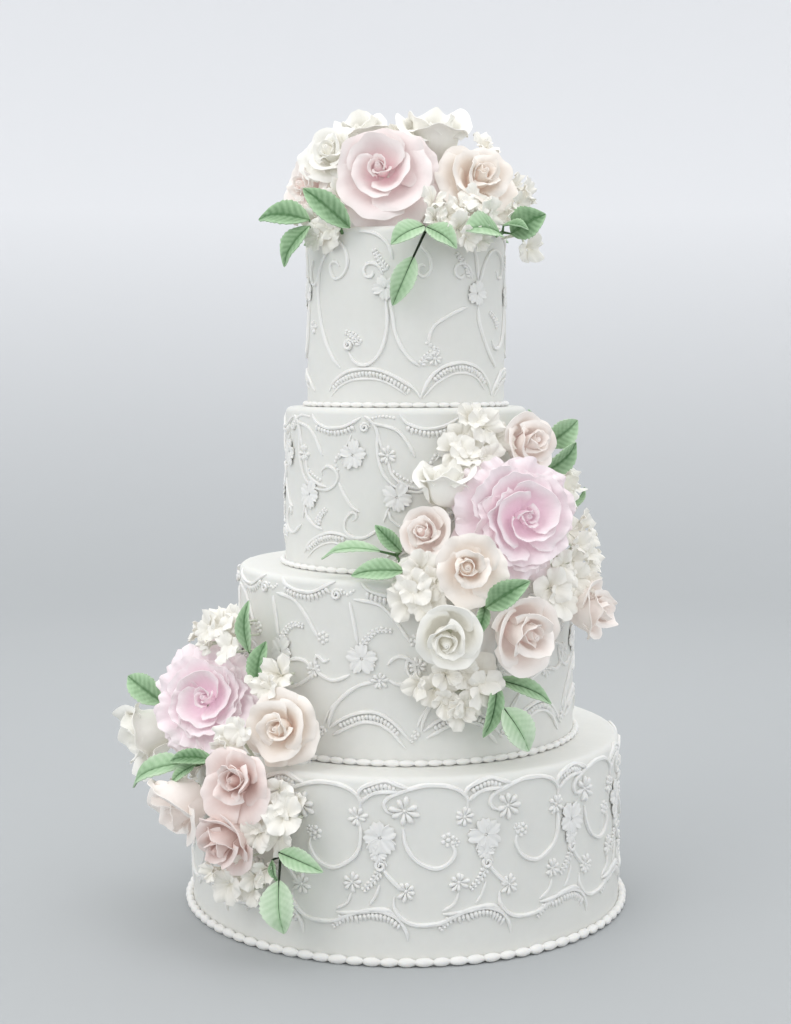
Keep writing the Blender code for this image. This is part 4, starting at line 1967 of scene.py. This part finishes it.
@dataclass(frozen=True)
class LeafSpray:
    """Leaves on wires that meet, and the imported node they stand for."""

    node: str
    joint: Triple
    leaves: tuple[Leaf, ...]
    dark_wires: bool = False

    def build(self, larder: Larder, moulds: Moulds) -> Object:
        """Casts the leaves and joins their wires.

        Args:
            larder: Where the finishes are.
            moulds: The grids to cast from.

        Returns:
            The spray.
        """
        dice = dice_for(self.node, 5)
        joint = place(*self.joint)
        sheets = []
        routes = []
        for leaf in self.leaves:
            sheets.append(moulds.leaf.cast("leaf", leaf.form(dice)))
            start = place(*leaf.base)
            spine = [(leaf.spine(share), 0.10 + 0.20 * (0.9 - share)) for share in SPINE_SHARES]
            routes.append([*spine, (start, 0.8), (joint, 1.1)])
        routes.append([(joint, 1.7), (nearest_icing(joint), 1.1)])
        wires = taped_wires(routes, larder.tape if self.dark_wires else larder.stalk)
        return sugar_piece(self.node, sheets, LEAF_ROLLED, 50.0, larder.leaf, wires)


# ------------------------------------------------------------------ the design
def bay_width(tier: Tier, bays: int) -> float:
    """How much of a tier's wall one bay of its pattern takes, in mm."""
    return 2.0 * math.pi * tier.radius / bays


def base_pattern() -> tuple[Stroke, ...]:
    """Two bays of the base tier's scrollwork; the big curl turns the other way in the second."""
    bay = bay_width(TIERS[0], 14)
    shared = (
        line((-34, 112), (-32, 118), (-24, 122), (-15, 124), (-8, 122), (1, 119)),
        line((-31, 109), (-27, 113), (-21, 116), (-13, 117), (-5, 116.5)),
        comb(4.4, (-29, 118), (-22, 121), (-15, 122), (-9, 120.5)),
        line(
            (-8, 102), (-13, 103), (-16, 108), (-13, 113), (-5, 116.5), (2, 119), (11, 121), (20, 121),
            (28, 120), (36, 116.5), (41, 111), (41, 104),
        ),
        daisy(-2, 104, 11.5),
        daisy(-34, 99, 8.0),
        cutout(-19, 86, 11.5),
        cutout(-19.5, 75, 6.0),
        swirl(-18, 67, 4.2),
        line((-17, 65), (-12, 59), (-6, 53), (-2, 51)),
        daisy(-1, 50, 8.0),
        fern(4.2, (-19, 63), (-23, 57), (-29, 51)),
        daisy(-38, 55, 8.0),
        fine((-38, 48), (-41, 41), (-49, 36)),
        fine((-19, 54), (-22, 46), (-26, 40)),
        line(
            (-9, 46), (-9, 39), (-4, 32), (3, 28), (12, 27), (22, 28), (31, 32), (39, 35), (47, 37),
            (58, 37.5), (66, 34),
        ),
        line((-49, 34), (-37, 34.5), (-22, 36.5), (-13, 35), (-6, 31), (-1, 23), (0, 17)),
        comb(5.4, (-44, 32.5), (-34, 33), (-22, 35), (-12, 33), (-5, 28)),
        fern(3.6, (-44, 31), (-50, 25)),
    )
    curl = (
        line((-3, 92), (-2, 83), (2, 75), (8, 69), (18, 65), (26, 67), (31, 72), (32, 77), (29, 81)),
        dots(28, 84, 3.6),
        dots(33, 82, 2.4),
    )
    returned = (
        line((40, 96), (41, 88), (40, 79), (35, 71), (22, 64), (10, 68), (4, 77), (5, 83)),
        dots(9, 86, 3.6),
        dots(5, 88, 2.4),
    )
    second = tuple(stroke.shifted(bay) for stroke in (*shared, *returned))
    return (*shared, *curl, *second)


def lower_middle_pattern() -> tuple[Stroke, ...]:
    """Two bays of the lower middle tier's scrollwork."""
    bay = bay_width(TIERS[1], 12)
    shared = (
        line((-33, 127), (-27, 122), (-18, 119), (-7, 118), (1, 120), (8, 123.5), (15, 127)),
        comb(4.8, (-27, 120.5), (-18, 117.5), (-8, 116.5), (2, 118.5), (8, 122)),
        swirl(17, 118, 4.0),
        beads(1.4, (21, 121), (25, 118), (30, 121)),
        line((-38, 115), (-27, 114), (-18, 111), (-9, 102), (-2, 92), (2, 86)),
        dots(6, 87, 3.4),
        line((-41, 113), (-38, 100), (-35, 84)),
        fern(3.8, (-32, 82), (-27, 89), (-20, 94), (-12, 94)),
        cutout(-32, 74, 10.5),
        line((11, 72), (8, 70), (5, 72), (1, 74), (0, 68), (3, 62), (11, 58), (17, 58), (27, 62)),
        line((-23, 58), (-32, 56), (-42, 50), (-51, 41), (-56, 31), (-57, 24)),
        line((-56, 24), (-46, 31), (-34, 36), (-23, 37), (-13, 33), (-5, 26), (2, 18)),
        line((-54, 19), (-41, 26), (-31, 30), (-20, 29), (-11, 24), (-5, 17), (-1, 12)),
        comb(4.6, (-48, 28), (-34, 34), (-23, 35), (-13, 31), (-6, 24)),
        fern(3.6, (-60, 24), (-64, 18)),
        fine((18, 44), (11, 36), (7, 27)),
    )
    first = (
        daisy(-2, 64, 7.5),
        line((-25, 68), (-17, 70), (-9, 69), (-3, 64)),
        line((-27, 49), (-17, 51), (-8, 56), (-2, 61)),
    )
    last = (
        daisy(-19, 59, 7.0),
        daisy(8, 69, 7.5),
        line((-14, 70), (-9, 75), (-3, 76), (4, 72), (5, 64), (0, 58), (-7, 57), (-14, 60)),
    )
    moved = tuple(stroke.shifted(-bay) for stroke in (*shared, *first))
    return (*moved, *shared, *last)


def upper_middle_pattern() -> tuple[Stroke, ...]:
    """Two bays of the upper middle tier's scrollwork."""
    bay = bay_width(TIERS[2], 8)
    shared = (
        line((-78, 115), (-74, 110), (-68, 107), (-60, 105), (-49, 106), (-41, 109), (-34, 113)),
        comb(4.4, (-72, 107), (-66, 105), (-58, 103.5), (-49, 104), (-41, 107)),
        swirl(-31, 106, 3.6),
        beads(1.3, (-27, 112), (-18, 114), (-9, 113)),
        line((-31, 114), (-26, 111), (-22, 105), (-20, 98), (-17, 90)),
        daisy(-14, 86, 7.5),
        line((-13, 82), (-11, 74), (-6, 68), (2, 64), (10, 62)),
        beads(1.5, (-9, 74), (-3, 70), (4, 67)),
        line((-28, 111), (-23, 108.5), (-15, 107), (-7, 104), (0, 96), (6, 85)),
        cutout(-40, 86, 10.0),
        cutout(-7, 56, 10.0),
        fine((-41, 101), (-44, 94), (-48, 88), (-52, 82)),
        beads(1.5, (-52, 86), (-55, 81), (-53, 75)),
        line((-52, 66), (-47, 57), (-41, 49), (-35, 45)),
        line(
            (-40, 38.5), (-37.5, 40), (-37, 43.5), (-40.2, 44.7), (-44.3, 41.5), (-46.8, 36.1),
            (-46, 31.1), (-41.9, 27.6), (-36.2, 26.1), (-30, 26.9), (-24, 30.4), (-20, 33),
        ),
        fine((-13, 49), (-15, 44), (-17, 38)),
        line((-88, 12), (-81, 20), (-70, 26), (-59, 29), (-48, 28), (-39, 25)),
        comb(4.4, (-83, 17), (-76, 22), (-67, 26), (-58, 27.5), (-48, 26.5)),
        fine((-84, 9), (-77, 15), (-67, 20), (-58, 22), (-48, 21)),
    )
    curl = (
        line(
            (-94, 106), (-94, 88), (-91, 76), (-87, 69), (-80.5, 63.5), (-71, 60.4), (-62, 60.2),
            (-55, 64), (-52, 70), (-55, 75), (-61.5, 77.3), (-67.5, 74), (-67, 70.5),
        ),
        line((-86, 46), (-84, 40), (-76, 34), (-67, 31)),
        fern(3.6, (-72, 34), (-69, 40), (-64, 45)),
    )
    second = tuple(stroke.shifted(bay) for stroke in (*shared, *curl))
    return (*shared, *curl, *second)


def top_pattern() -> tuple[Stroke, ...]:
    """Half the way round the top tier: the scrollwork that faces front."""
    left = (
        line(
            (-65, 118), (-60, 123), (-54, 122), (-48, 116), (-46, 106), (-50, 98), (-57, 95), (-62, 99),
            (-63, 106), (-58, 108), (-54, 104),
        ),
        line(
            (-65, 118), (-73, 110), (-78, 100), (-79, 86), (-78, 76), (-74, 61), (-68, 48), (-60, 36),
            (-53, 29),
        ),
        line((-36, 129), (-31, 129), (-23, 127), (-16, 122), (-12, 116), (-10, 108)),
        line((-17, 97), (-21, 104), (-28, 105.5), (-32, 101), (-30, 96), (-25, 96), (-25, 100)),
        fern(4.0, (-14, 100), (-19, 107), (-23, 114)),
        cutout(-15, 87, 9.0),
        line((-15, 79), (-14, 66), (-15, 54), (-19, 41), (-26, 33), (-34, 31), (-41, 35), (-45, 41)),
        fern(4.2, (-35, 46), (-40, 52), (-46, 55)),
        swirl(-45, 46, 4.4),
        line((-12, 79), (-10, 66), (-8, 54), (-3, 43), (3, 35), (10, 30)),
        line(
            (-65, 12), (-58, 20), (-47, 26), (-37, 28), (-24, 28), (-14, 25), (-4, 20), (5, 14), (10, 7),
        ),
        comb(4.2, (-60, 16), (-53, 21), (-42, 25), (-30, 26.5), (-19, 25), (-8, 20), (2, 14)),
        fine((-62, 8), (-54, 15), (-42, 20), (-30, 21), (-19, 20), (-8, 15), (0, 9)),
    )
    middle = (
        line((10, 118), (15, 113), (18, 106), (17, 99), (12, 95.5), (8, 99), (10, 104), (14, 103)),
        line((52, 95), (50, 102), (44, 106), (38, 104), (37, 98), (42, 95), (45, 98)),
        line((30, 126), (40, 124), (50, 121), (56, 114), (58, 104), (59, 94)),
        fern(3.8, (52, 96), (47, 104), (40, 112)),
        cutout(57, 84, 9.0),
        line((48, 74), (40, 71), (30, 66), (21, 60), (17, 52), (17, 46)),
        beads(1.6, (15, 47), (19, 45), (23, 42)),
        daisy(21, 36, 6.5),
        fern(3.8, (10, 31), (15, 38), (22, 42)),
        line((59, 74), (60, 63), (66, 50), (73, 39), (82, 30)),
        line((10, 7), (17, 21), (26, 29), (35, 32), (44, 33), (56, 30), (64, 25), (72, 16), (75, 9)),
        fine((12, 7), (20, 16), (29, 22), (38, 25), (48, 25), (58, 21), (66, 13)),
        comb(4.2, (20, 22), (28, 28), (38, 30.5), (48, 30.5), (58, 27), (66, 20)),
    )
    right = (
        line(
            (60, 91), (62, 97), (66, 106), (73, 115), (82, 117.5), (91, 114), (95, 107), (93, 99),
            (86, 97), (83, 102),
        ),
        line((97, 112), (103, 100), (105, 86), (103, 70), (98, 56), (90, 46), (80, 44), (76, 50)),
        cutout(108, 84, 9.0),
        fern(3.8, (86, 60), (80, 66), (74, 70)),
        line((110, 76), (112, 62), (118, 48), (127, 38)),
        fern(3.8, (126, 100), (119, 106), (112, 114)),
        line((100, 128), (112, 126), (124, 120), (132, 110), (137, 98)),
        cutout(139, 88, 9.0),
        line((140, 80), (139, 66), (136, 52), (130, 42), (121, 38), (115, 42)),
        line((75, 9), (84, 19), (94, 26), (106, 28), (118, 28), (130, 25), (142, 20), (152, 12)),
        comb(4.2, (82, 16), (90, 22), (100, 26), (112, 27), (124, 25.5), (136, 20.5)),
        fine((80, 8), (90, 16), (102, 20), (114, 21), (126, 19), (138, 14)),
        daisy(151, 60, 6.5),
        line((150, 110), (146, 102), (148, 94), (155, 92), (158, 98)),
    )
    return (*left, *middle, *right)


FLOWERS = (
    SugarFlower(
        "top_peony", Bloom.GARDEN, Paste.PALE, (-12, 68, 545), 36.5, (-8, 14), (-0.18, 0.18), 40.0,
    ),
    SugarFlower(
        "top_rose_ivory", Bloom.TULIP, Paste.WHITE, (37, 34, 579), 30.0, (6, 70), (0.0, 0.0), 20.0,
    ),
    SugarFlower(
        "top_rose_peach", Bloom.FULL_ROSE, Paste.PEACH, (45.5, 74, 543), 28.5, (24, 20), (0.12, 0.12),
    ),
    SugarFlower(
        "top_rose_left", Bloom.ROSE, Paste.BLUSH, (-80, 78, 543), 21.0, (-42, 14), (0.0, 0.0), 30.0,
    ),
    SugarFlower("top_rose_cream", Bloom.FULL_ROSE, Paste.WHITE, (-67, 62, 567), 24.0, (-28, 26)),
    SugarFlower(
        "top_rose_crown", Bloom.TULIP, Paste.WHITE, (-84, 33, 583), 23.0, (-24, 64), (0.0, 0.0), 50.0,
    ),
    SugarFlower("top_rose_back", Bloom.FULL_ROSE, Paste.BLUSH, (178, 44, 568), 28.0, (178, 38)),
    SugarFlower("top_rose_back_right", Bloom.ROSE, Paste.WHITE, (117, 68, 538), 24.0, (117, 20)),
    SugarFlower("top_rose_back_left", Bloom.ROSE, Paste.PEACH, (-128, 68, 538), 24.0, (-128, 20)),
    SugarFlower("right_peony", Bloom.PEONY, Paste.PINK, (33.3, 147, 298), 43.5, (17, 4), (0.12, 0.02)),
    SugarFlower("right_rose_high", Bloom.CUPPED, Paste.BLUSH, (49, 117, 348), 22.5, (32, 16)),
    SugarFlower("right_rose_white", Bloom.TULIP, Paste.WHITE, (12.5, 119, 321), 23.0, (0, 78)),
    SugarFlower(
        "right_rose_small", Bloom.CUPPED, Paste.BLUSH, (6.5, 122, 287), 19.5, (-16, 18), (-0.1, 0.0),
    ),
    SugarFlower(
        "right_rose_peach", Bloom.ROSE, Paste.PEACH, (16, 156, 265), 24.0, (4, 4), (-0.12, 0.06), 30.0,
    ),
    SugarFlower(
        "right_rose_ivory", Bloom.CUPPED, Paste.WHITE, (10.8, 157, 221), 23.5, (0, -6), (-0.14, -0.16),
        80.0,
    ),
    SugarFlower(
        "right_rose_blush", Bloom.CUPPED, Paste.BLUSH, (29.8, 159, 221), 26.5, (32, -8), (0.05, 0.0),
    ),
    SugarFlower("right_rose_side", Bloom.CUPPED, Paste.BLUSH, (60, 154, 228), 22.5, (66, -2)),
    SugarFlower("right_rose_behind", Bloom.ROSE, Paste.WHITE, (76, 126, 317), 19.5, (74, 20)),
    SugarFlower(
        "left_peony", Bloom.PEONY, Paste.PINK, (-60.5, 169, 161), 38.5, (-15, 20), (-0.02, 0.1), 200.0,
    ),
    SugarFlower("left_rose_peach", Bloom.FULL_ROSE, Paste.PEACH, (-32.3, 164, 154), 24.5, (-22, 10)),
    SugarFlower("left_rose_white", Bloom.TULIP, Paste.WHITE, (-84, 200, 124), 31.0, (-70, -14)),
    SugarFlower(
        "left_rose_mauve", Bloom.ROSE, Paste.MAUVE, (-37, 194, 120), 23.5, (-30, 8), (0.06, 0.16), 50.0,
    ),
    SugarFlower(
        "left_rose_outer", Bloom.TULIP, Paste.BLUSH, (-57, 190, 92), 26.5, (-62, -30), (0.0, 0.0), 40.0,
    ),
    SugarFlower("left_rose_low", Bloom.CUPPED, Paste.MAUVE, (-40, 192, 80), 23.6, (-40, -24)),
)

BLOSSOMS = (
    BlossomSpray(
        "blossoms_top_left", (-58, 76, 524),
        ((-57, 82, 513, -40, -10), (-44, 73, 530, -30, 20)),
        (
            (-48, 80, 503, -36, -6), (-55, 78, 526, -40, 12), (-54, 83, 500, -44, -8),
            (-44, 79, 508, -34, 0), (-66, 78, 515, -58, 0), (-74, 80, 519, -70, 4),
            (-22, 20, 583, -12, 34), (12, 22, 584, 0, 30), (-90, 10, 578, -20, 40),
        ),
    ),
    BlossomSpray(
        "blossoms_top_front", (24, 72, 514),
        ((14, 80, 523, 4, 10), (28, 83, 522, 20, 14), (25, 92, 504, 22, -6), (35, 90, 498, 34, -12)),
        (
            (20, 86, 514, 10, 10), (33, 86, 517, 26, 10), (27, 97, 497, 20, -6), (36, 84, 526, 30, 14),
            (14, 85, 511, 4, 0), (44, 86, 515, 38, -4), (53, 84, 517, 46, 0),
        ),
    ),
    BlossomSpray(
        "blossoms_top_right", (72, 84, 528),
        ((69, 96, 535, 60, 18),),
        (
            (64, 95, 526, 52, 6), (60, 90, 515, 44, 0), (79, 84, 541, 60, 30), (70, 67, 570, 60, 50),
            (64, 66, 571, 40, 50),
        ),
    ),
    BlossomSpray("blossom_top_hanging", (74, 90, 505), ((71, 98, 494, 26, -14),)),
    BlossomSpray(
        "blossoms_right_high", (31, 98, 349),
        ((22, 105, 354, 10, 12), (29, 110, 345, 22, 8), (31, 108, 361, 28, 22)),
        (
            (19, 108, 343, 6, 6), (31, 113, 337, 24, 4), (26, 106, 366, 18, 28), (25, 108, 346, 14, 14),
            (37, 108, 352, 34, 14),
        ),
    ),
    BlossomSpray(
        "blossoms_right_side", (86, 118, 275),
        ((84, 139, 274, 88, 8), (84, 139, 259, 88, -4)),
        (
            (58, 146, 274, 44, 12), (56, 146, 264, 40, 6), (63, 147, 266, 54, 6), (50, 146, 254, 34, 10),
            (63, 144, 288, 56, 16), (62, 148, 257, 54, 0), (55, 148, 251, 44, 4), (44, 148, 247, 26, 8),
            (48, 148, 239, 36, 2), (55, 149, 234, 48, 0), (67, 147, 278, 64, 10), (68, 148, 264, 66, 0),
            (61, 150, 246, 56, 0), (57, 142, 284, 44, 6), (48, 150, 262, 34, 8),
        ),
    ),
    BlossomSpray(
        "blossoms_right_inner", (3, 128, 262),
        ((4, 134, 263, -8, 4), (9, 135, 247, 0, -8)),
        (
            (2, 138, 251, -16, 0), (8, 140, 256, -4, 8), (1, 136, 241, -14, -8), (0, 130, 258, -24, 6),
            (6, 139, 240, -6, -8),
        ),
    ),
    BlossomSpray(
        "blossoms_right_low", (17, 133, 178),
        ((20, 143, 190, 18, -4), (8, 138, 181, 2, -6), (15, 138, 165, 12, -14)),
        (
            (4, 134, 185, -10, -4), (17, 141, 170, 16, -8), (16, 144, 192, 10, 4), (11, 140, 192, 0, 6),
            (11, 139, 173, 4, -10), (21, 147, 182, 20, 0),
        ),
    ),
    BlossomSpray(
        "blossoms_left_high", (-82, 136, 200),
        ((-80, 160, 202, -80, 14), (-74, 146, 206, -66, 20)),
        (
            (-56, 150, 210, -40, 16), (-62, 152, 216, -46, 20), (-66, 160, 211, -54, 14),
            (-64, 161, 201, -48, 6), (-55, 156, 200, -38, 4), (-58, 146, 219, -40, 22),
        ),
    ),
    BlossomSpray(
        "blossoms_left_shoulder", (-43, 133, 182),
        ((-40, 140, 184, -30, 18),),
        ((-38, 146, 187, -24, 18), (-39, 154, 179, -30, 6)),
    ),
    BlossomSpray(
        "blossoms_left_inner", (-44, 164, 140),
        ((-42, 182, 148, -38, 4),),
        ((-39, 182, 154, -32, 12), (-43, 184, 141, -34, 0)),
    ),
    BlossomSpray(
        "blossoms_left_front", (-26, 170, 96),
        ((-30, 181, 106, -20, 10), (-34, 182, 94, -26, 0), (-29, 178, 84, -16, -10)),
        (
            (-29, 180, 116, -14, 12), (-26, 177, 109, -10, 4), (-27, 183, 101, -20, 4),
            (-29, 181, 95, -14, -4), (-33, 186, 87, -26, -8),
        ),
    ),
    BlossomSpray(
        "blossoms_left_low", (-36, 168, 56),
        ((-33, 175, 60, -24, -10), (-40, 175, 48, -36, -16)),
        (
            (-38, 180, 65, -32, -4), (-42, 184, 46, -40, -8), (-37, 178, 43, -30, -16),
            (-45, 188, 55, -46, -6), (-36, 178, 54, -24, -8),
        ),
    ),
)

FILLERS = (
    BlossomSpray(
        "blossoms_top_filler", (180, 50, 545),
        ((164, 60, 536, 164, 20), (-164, 60, 536, -164, 20)),
        (
            (148, 60, 540, 148, 24), (-148, 60, 540, -148, 24), (152, 66, 525, 152, 6),
            (-154, 66, 525, -154, 6), (172, 66, 522, 172, 4), (-174, 66, 530, -174, 10),
            (-104, 64, 528, -104, 10), (-98, 58, 546, -98, 26), (96, 64, 524, 92, 8),
            (92, 62, 542, 88, 20), (104, 54, 556, 104, 34), (140, 42, 560, 140, 50),
            (-140, 42, 562, -140, 50), (70, 44, 560, 70, 40), (-118, 38, 568, -118, 50),
            (150, 16, 572, 100, 70), (-30, 8, 570, 0, 70), (96, 30, 572, 90, 60),
        ),
    ),
    BlossomSpray(
        "blossoms_right_filler", (62, 108, 270),
        ((60, 110, 306, 74, 22), (66, 114, 292, 80, 10)),
        (
            (70, 110, 277, 84, 0), (63, 120, 280, 78, 4), (57, 106, 326, 70, 30), (73, 116, 264, 88, 14),
            (52, 118, 316, 60, 30), (14, 112, 262, -30, 10), (22, 112, 338, 10, 50),
            (0, 112, 258, -40, 10),
        ),
    ),
    BlossomSpray(
        "blossoms_left_filler", (-84, 146, 140),
        ((-83, 150, 152, -96, 14), (-78, 152, 168, -90, 20)),
        (
            (-88, 146, 142, -104, 6), (-80, 158, 138, -96, 0), (-86, 142, 160, -104, 20),
            (-72, 150, 186, -84, 30), (-66, 168, 112, -90, -10), (-70, 172, 96, -90, 0),
            (-64, 170, 78, -84, -10), (-46, 146, 184, -40, 40), (-74, 166, 128, -92, -6),
        ),
    ),
)

LEAVES = (
    LeafSpray(
        "leaves_top_left", (-60, 79, 506),
        (
            Leaf((-55, 88, 513), (-75, 116, 517), 25, (-40, 40), -0.3),
            Leaf((-54, 89, 508), (-60, 106, 479), 23, (-46, 16), -0.24),
        ),
    ),
    LeafSpray(
        "leaf_top_left_dark", (-38, 80, 507),
        (Leaf((-28, 88, 505), (-48, 102, 535), 20, (-22, 26), -0.3),),
    ),
    LeafSpray(
        "leaves_top_front", (10, 81, 503),
        (
            Leaf((7.9, 91, 505), (-6.5, 99, 492), 20, (0, 40)),
            Leaf((8.8, 92, 504), (20.2, 104, 489), 20, (14, 36), -0.05),
            Leaf((3.2, 88, 483), (-6.5, 89, 448), 18, (2, 10)),
        ),
        dark_wires=True,
    ),
    LeafSpray(
        "leaves_top_right", (62, 82, 505),
        (
            Leaf((46, 95, 502), (24.6, 101, 503), 28, (30, 42), -0.08),
            Leaf((49.5, 94, 508), (53, 112, 505), 15, (40, 50), -0.26),
            Leaf((58, 92, 503), (61.5, 117, 517), 27, (40, 30), -0.3),
        ),
    ),
    LeafSpray(
        "leaves_top_back_left", (-150, 80, 505),
        (
            Leaf((-144, 90, 508), (-132, 112, 506), 19, (-140, 50)),
            Leaf((-156, 90, 506), (-164, 106, 480), 19, (-158, 20)),
        ),
    ),
    LeafSpray(
        "leaves_top_back_right", (150, 80, 505),
        (
            Leaf((144, 90, 508), (131, 112, 508), 19, (140, 50)),
            Leaf((156, 90, 506), (163, 104, 478), 19, (158, 20)),
        ),
    ),
    LeafSpray(
        "leaves_right_left", (-4, 105, 270),
        (
            Leaf((-9, 119, 274), (-31, 119, 269), 14, (-12, 62)),
            Leaf((-2, 118, 274), (-11, 117, 292), 12, (-14, 20), -0.25),
            Leaf((-1, 132, 262), (-17, 133, 259), 17, (-8, 34), -0.14),
        ),
    ),
    LeafSpray(
        "leaves_right_high", (64, 98, 352),
        (
            Leaf((64, 116, 346), (71, 136, 364), 21, (52, 20), -0.14),
            Leaf((60, 116, 325), (70, 136, 347), 20, (52, 0), -0.24),
            Leaf((57, 106, 354), (54, 112, 372), 11, (46, 20), -0.2),
        ),
    ),
    LeafSpray(
        "leaf_right_side", (94, 108, 300),
        (Leaf((94, 128, 296), (92, 140, 310), 12, (92, 10), -0.1),),
    ),
    LeafSpray(
        "leaves_right_middle", (22, 134, 238),
        (
            Leaf((20, 158, 239), (28, 176, 258), 19, (4, 24), -0.26),
            Leaf((21, 150, 240), (17, 160, 219), 10, (12, 0), -0.34),
        ),
    ),
    LeafSpray(
        "leaves_right_low", (26, 132, 184),
        (
            Leaf((26, 143, 186), (41, 156, 168), 14, (26, 34), -0.14),
            Leaf((25, 147, 184), (21, 149, 148), 14, (28, 0), -0.22),
            Leaf((26, 152, 168), (32, 160, 138), 24, (26, 4), 0.2),
        ),
        dark_wires=True,
    ),
    LeafSpray(
        "leaves_left_high", (-55, 132, 186),
        (
            Leaf((-49, 149, 200), (-48, 153, 237), 15, (-38, 10), -0.16),
            Leaf((-46, 148, 177), (-45, 143, 208), 18, (-32, 8), -0.28),
        ),
    ),
    LeafSpray(
        "leaf_left_back", (-76, 146, 148),
        (Leaf((-79, 186, 151), (-86, 214, 168), 21, (-60, 36), -0.18),),
    ),
    LeafSpray(
        "leaf_left_middle", (-66, 168, 112),
        (
            Leaf((-58, 186, 121), (-72, 213, 97), 22, (-50, 44), -0.08),
            Leaf((-50, 178, 127), (-60, 196, 123), 13, (-46, 40), -0.34),
            Leaf((-55, 184, 121), (-58, 197, 109), 10, (-46, 16), -0.2),
        ),
    ),
    LeafSpray(
        "leaves_left_low", (-30, 173, 70),
        (
            Leaf((-28, 184, 76), (-18, 184, 67), 15, (-20, 30)),
            Leaf((-28, 184, 57), (-26, 190, 24), 27, (-22, 4), 0.2),
            Leaf((-31, 178, 68), (-29, 180, 54), 8, (-50, 0), -0.3),
        ),
        dark_wires=True,
    ),
)


@dataclass(frozen=True)
class Cake:
    """The whole cake."""

    larder: Larder

    def build(self) -> None:
        """Builds every piece, from the fondant to the leaves."""
        for tier in TIERS:
            finish_piece(tier.build(self.larder), "fondant", f"tier_{tier.name}")
        for tier, pearls, thickness in zip(TIERS, PEARLS, PEARL_WIDTHS):
            border = PearlBorder(tier, pearls, thickness)
            finish_piece(border.build(self.larder), "royal_icing", f"border_{tier.name}")
        patterns = (base_pattern(), lower_middle_pattern(), upper_middle_pattern(), top_pattern())
        for tier, repeats, strokes, thick in zip(TIERS, PATTERN_REPEATS, patterns, LINE_RADII):
            finish_piece(Scrollwork(tier, repeats, strokes, thick).build(self.larder), "royal_icing")
        for mound in MOUNDS:
            finish_piece(mound.build(self.larder), "royal_icing")
        moulds = Moulds()
        for flower in FLOWERS:
            finish_piece(flower.build(self.larder, moulds), flower.paste.slot, flower.node)
        for spray in BLOSSOMS:
            finish_piece(spray.build(self.larder, moulds), "petals_white", spray.node)
        for spray in FILLERS:
            finish_piece(spray.build(self.larder, moulds), "petals_white")
        for spray in LEAVES:
            finish_piece(spray.build(self.larder, moulds), "leaves_green", spray.node)
        moulds.clear()


def main() -> None:
    """Builds the studio and the cake, in order."""
    logging.basicConfig(level=logging.INFO, format="%(name)s: %(message)s")
    larder = Larder()
    Studio().build(larder)
    Cake(larder).build()


if __name__ == "__main__":
    main()
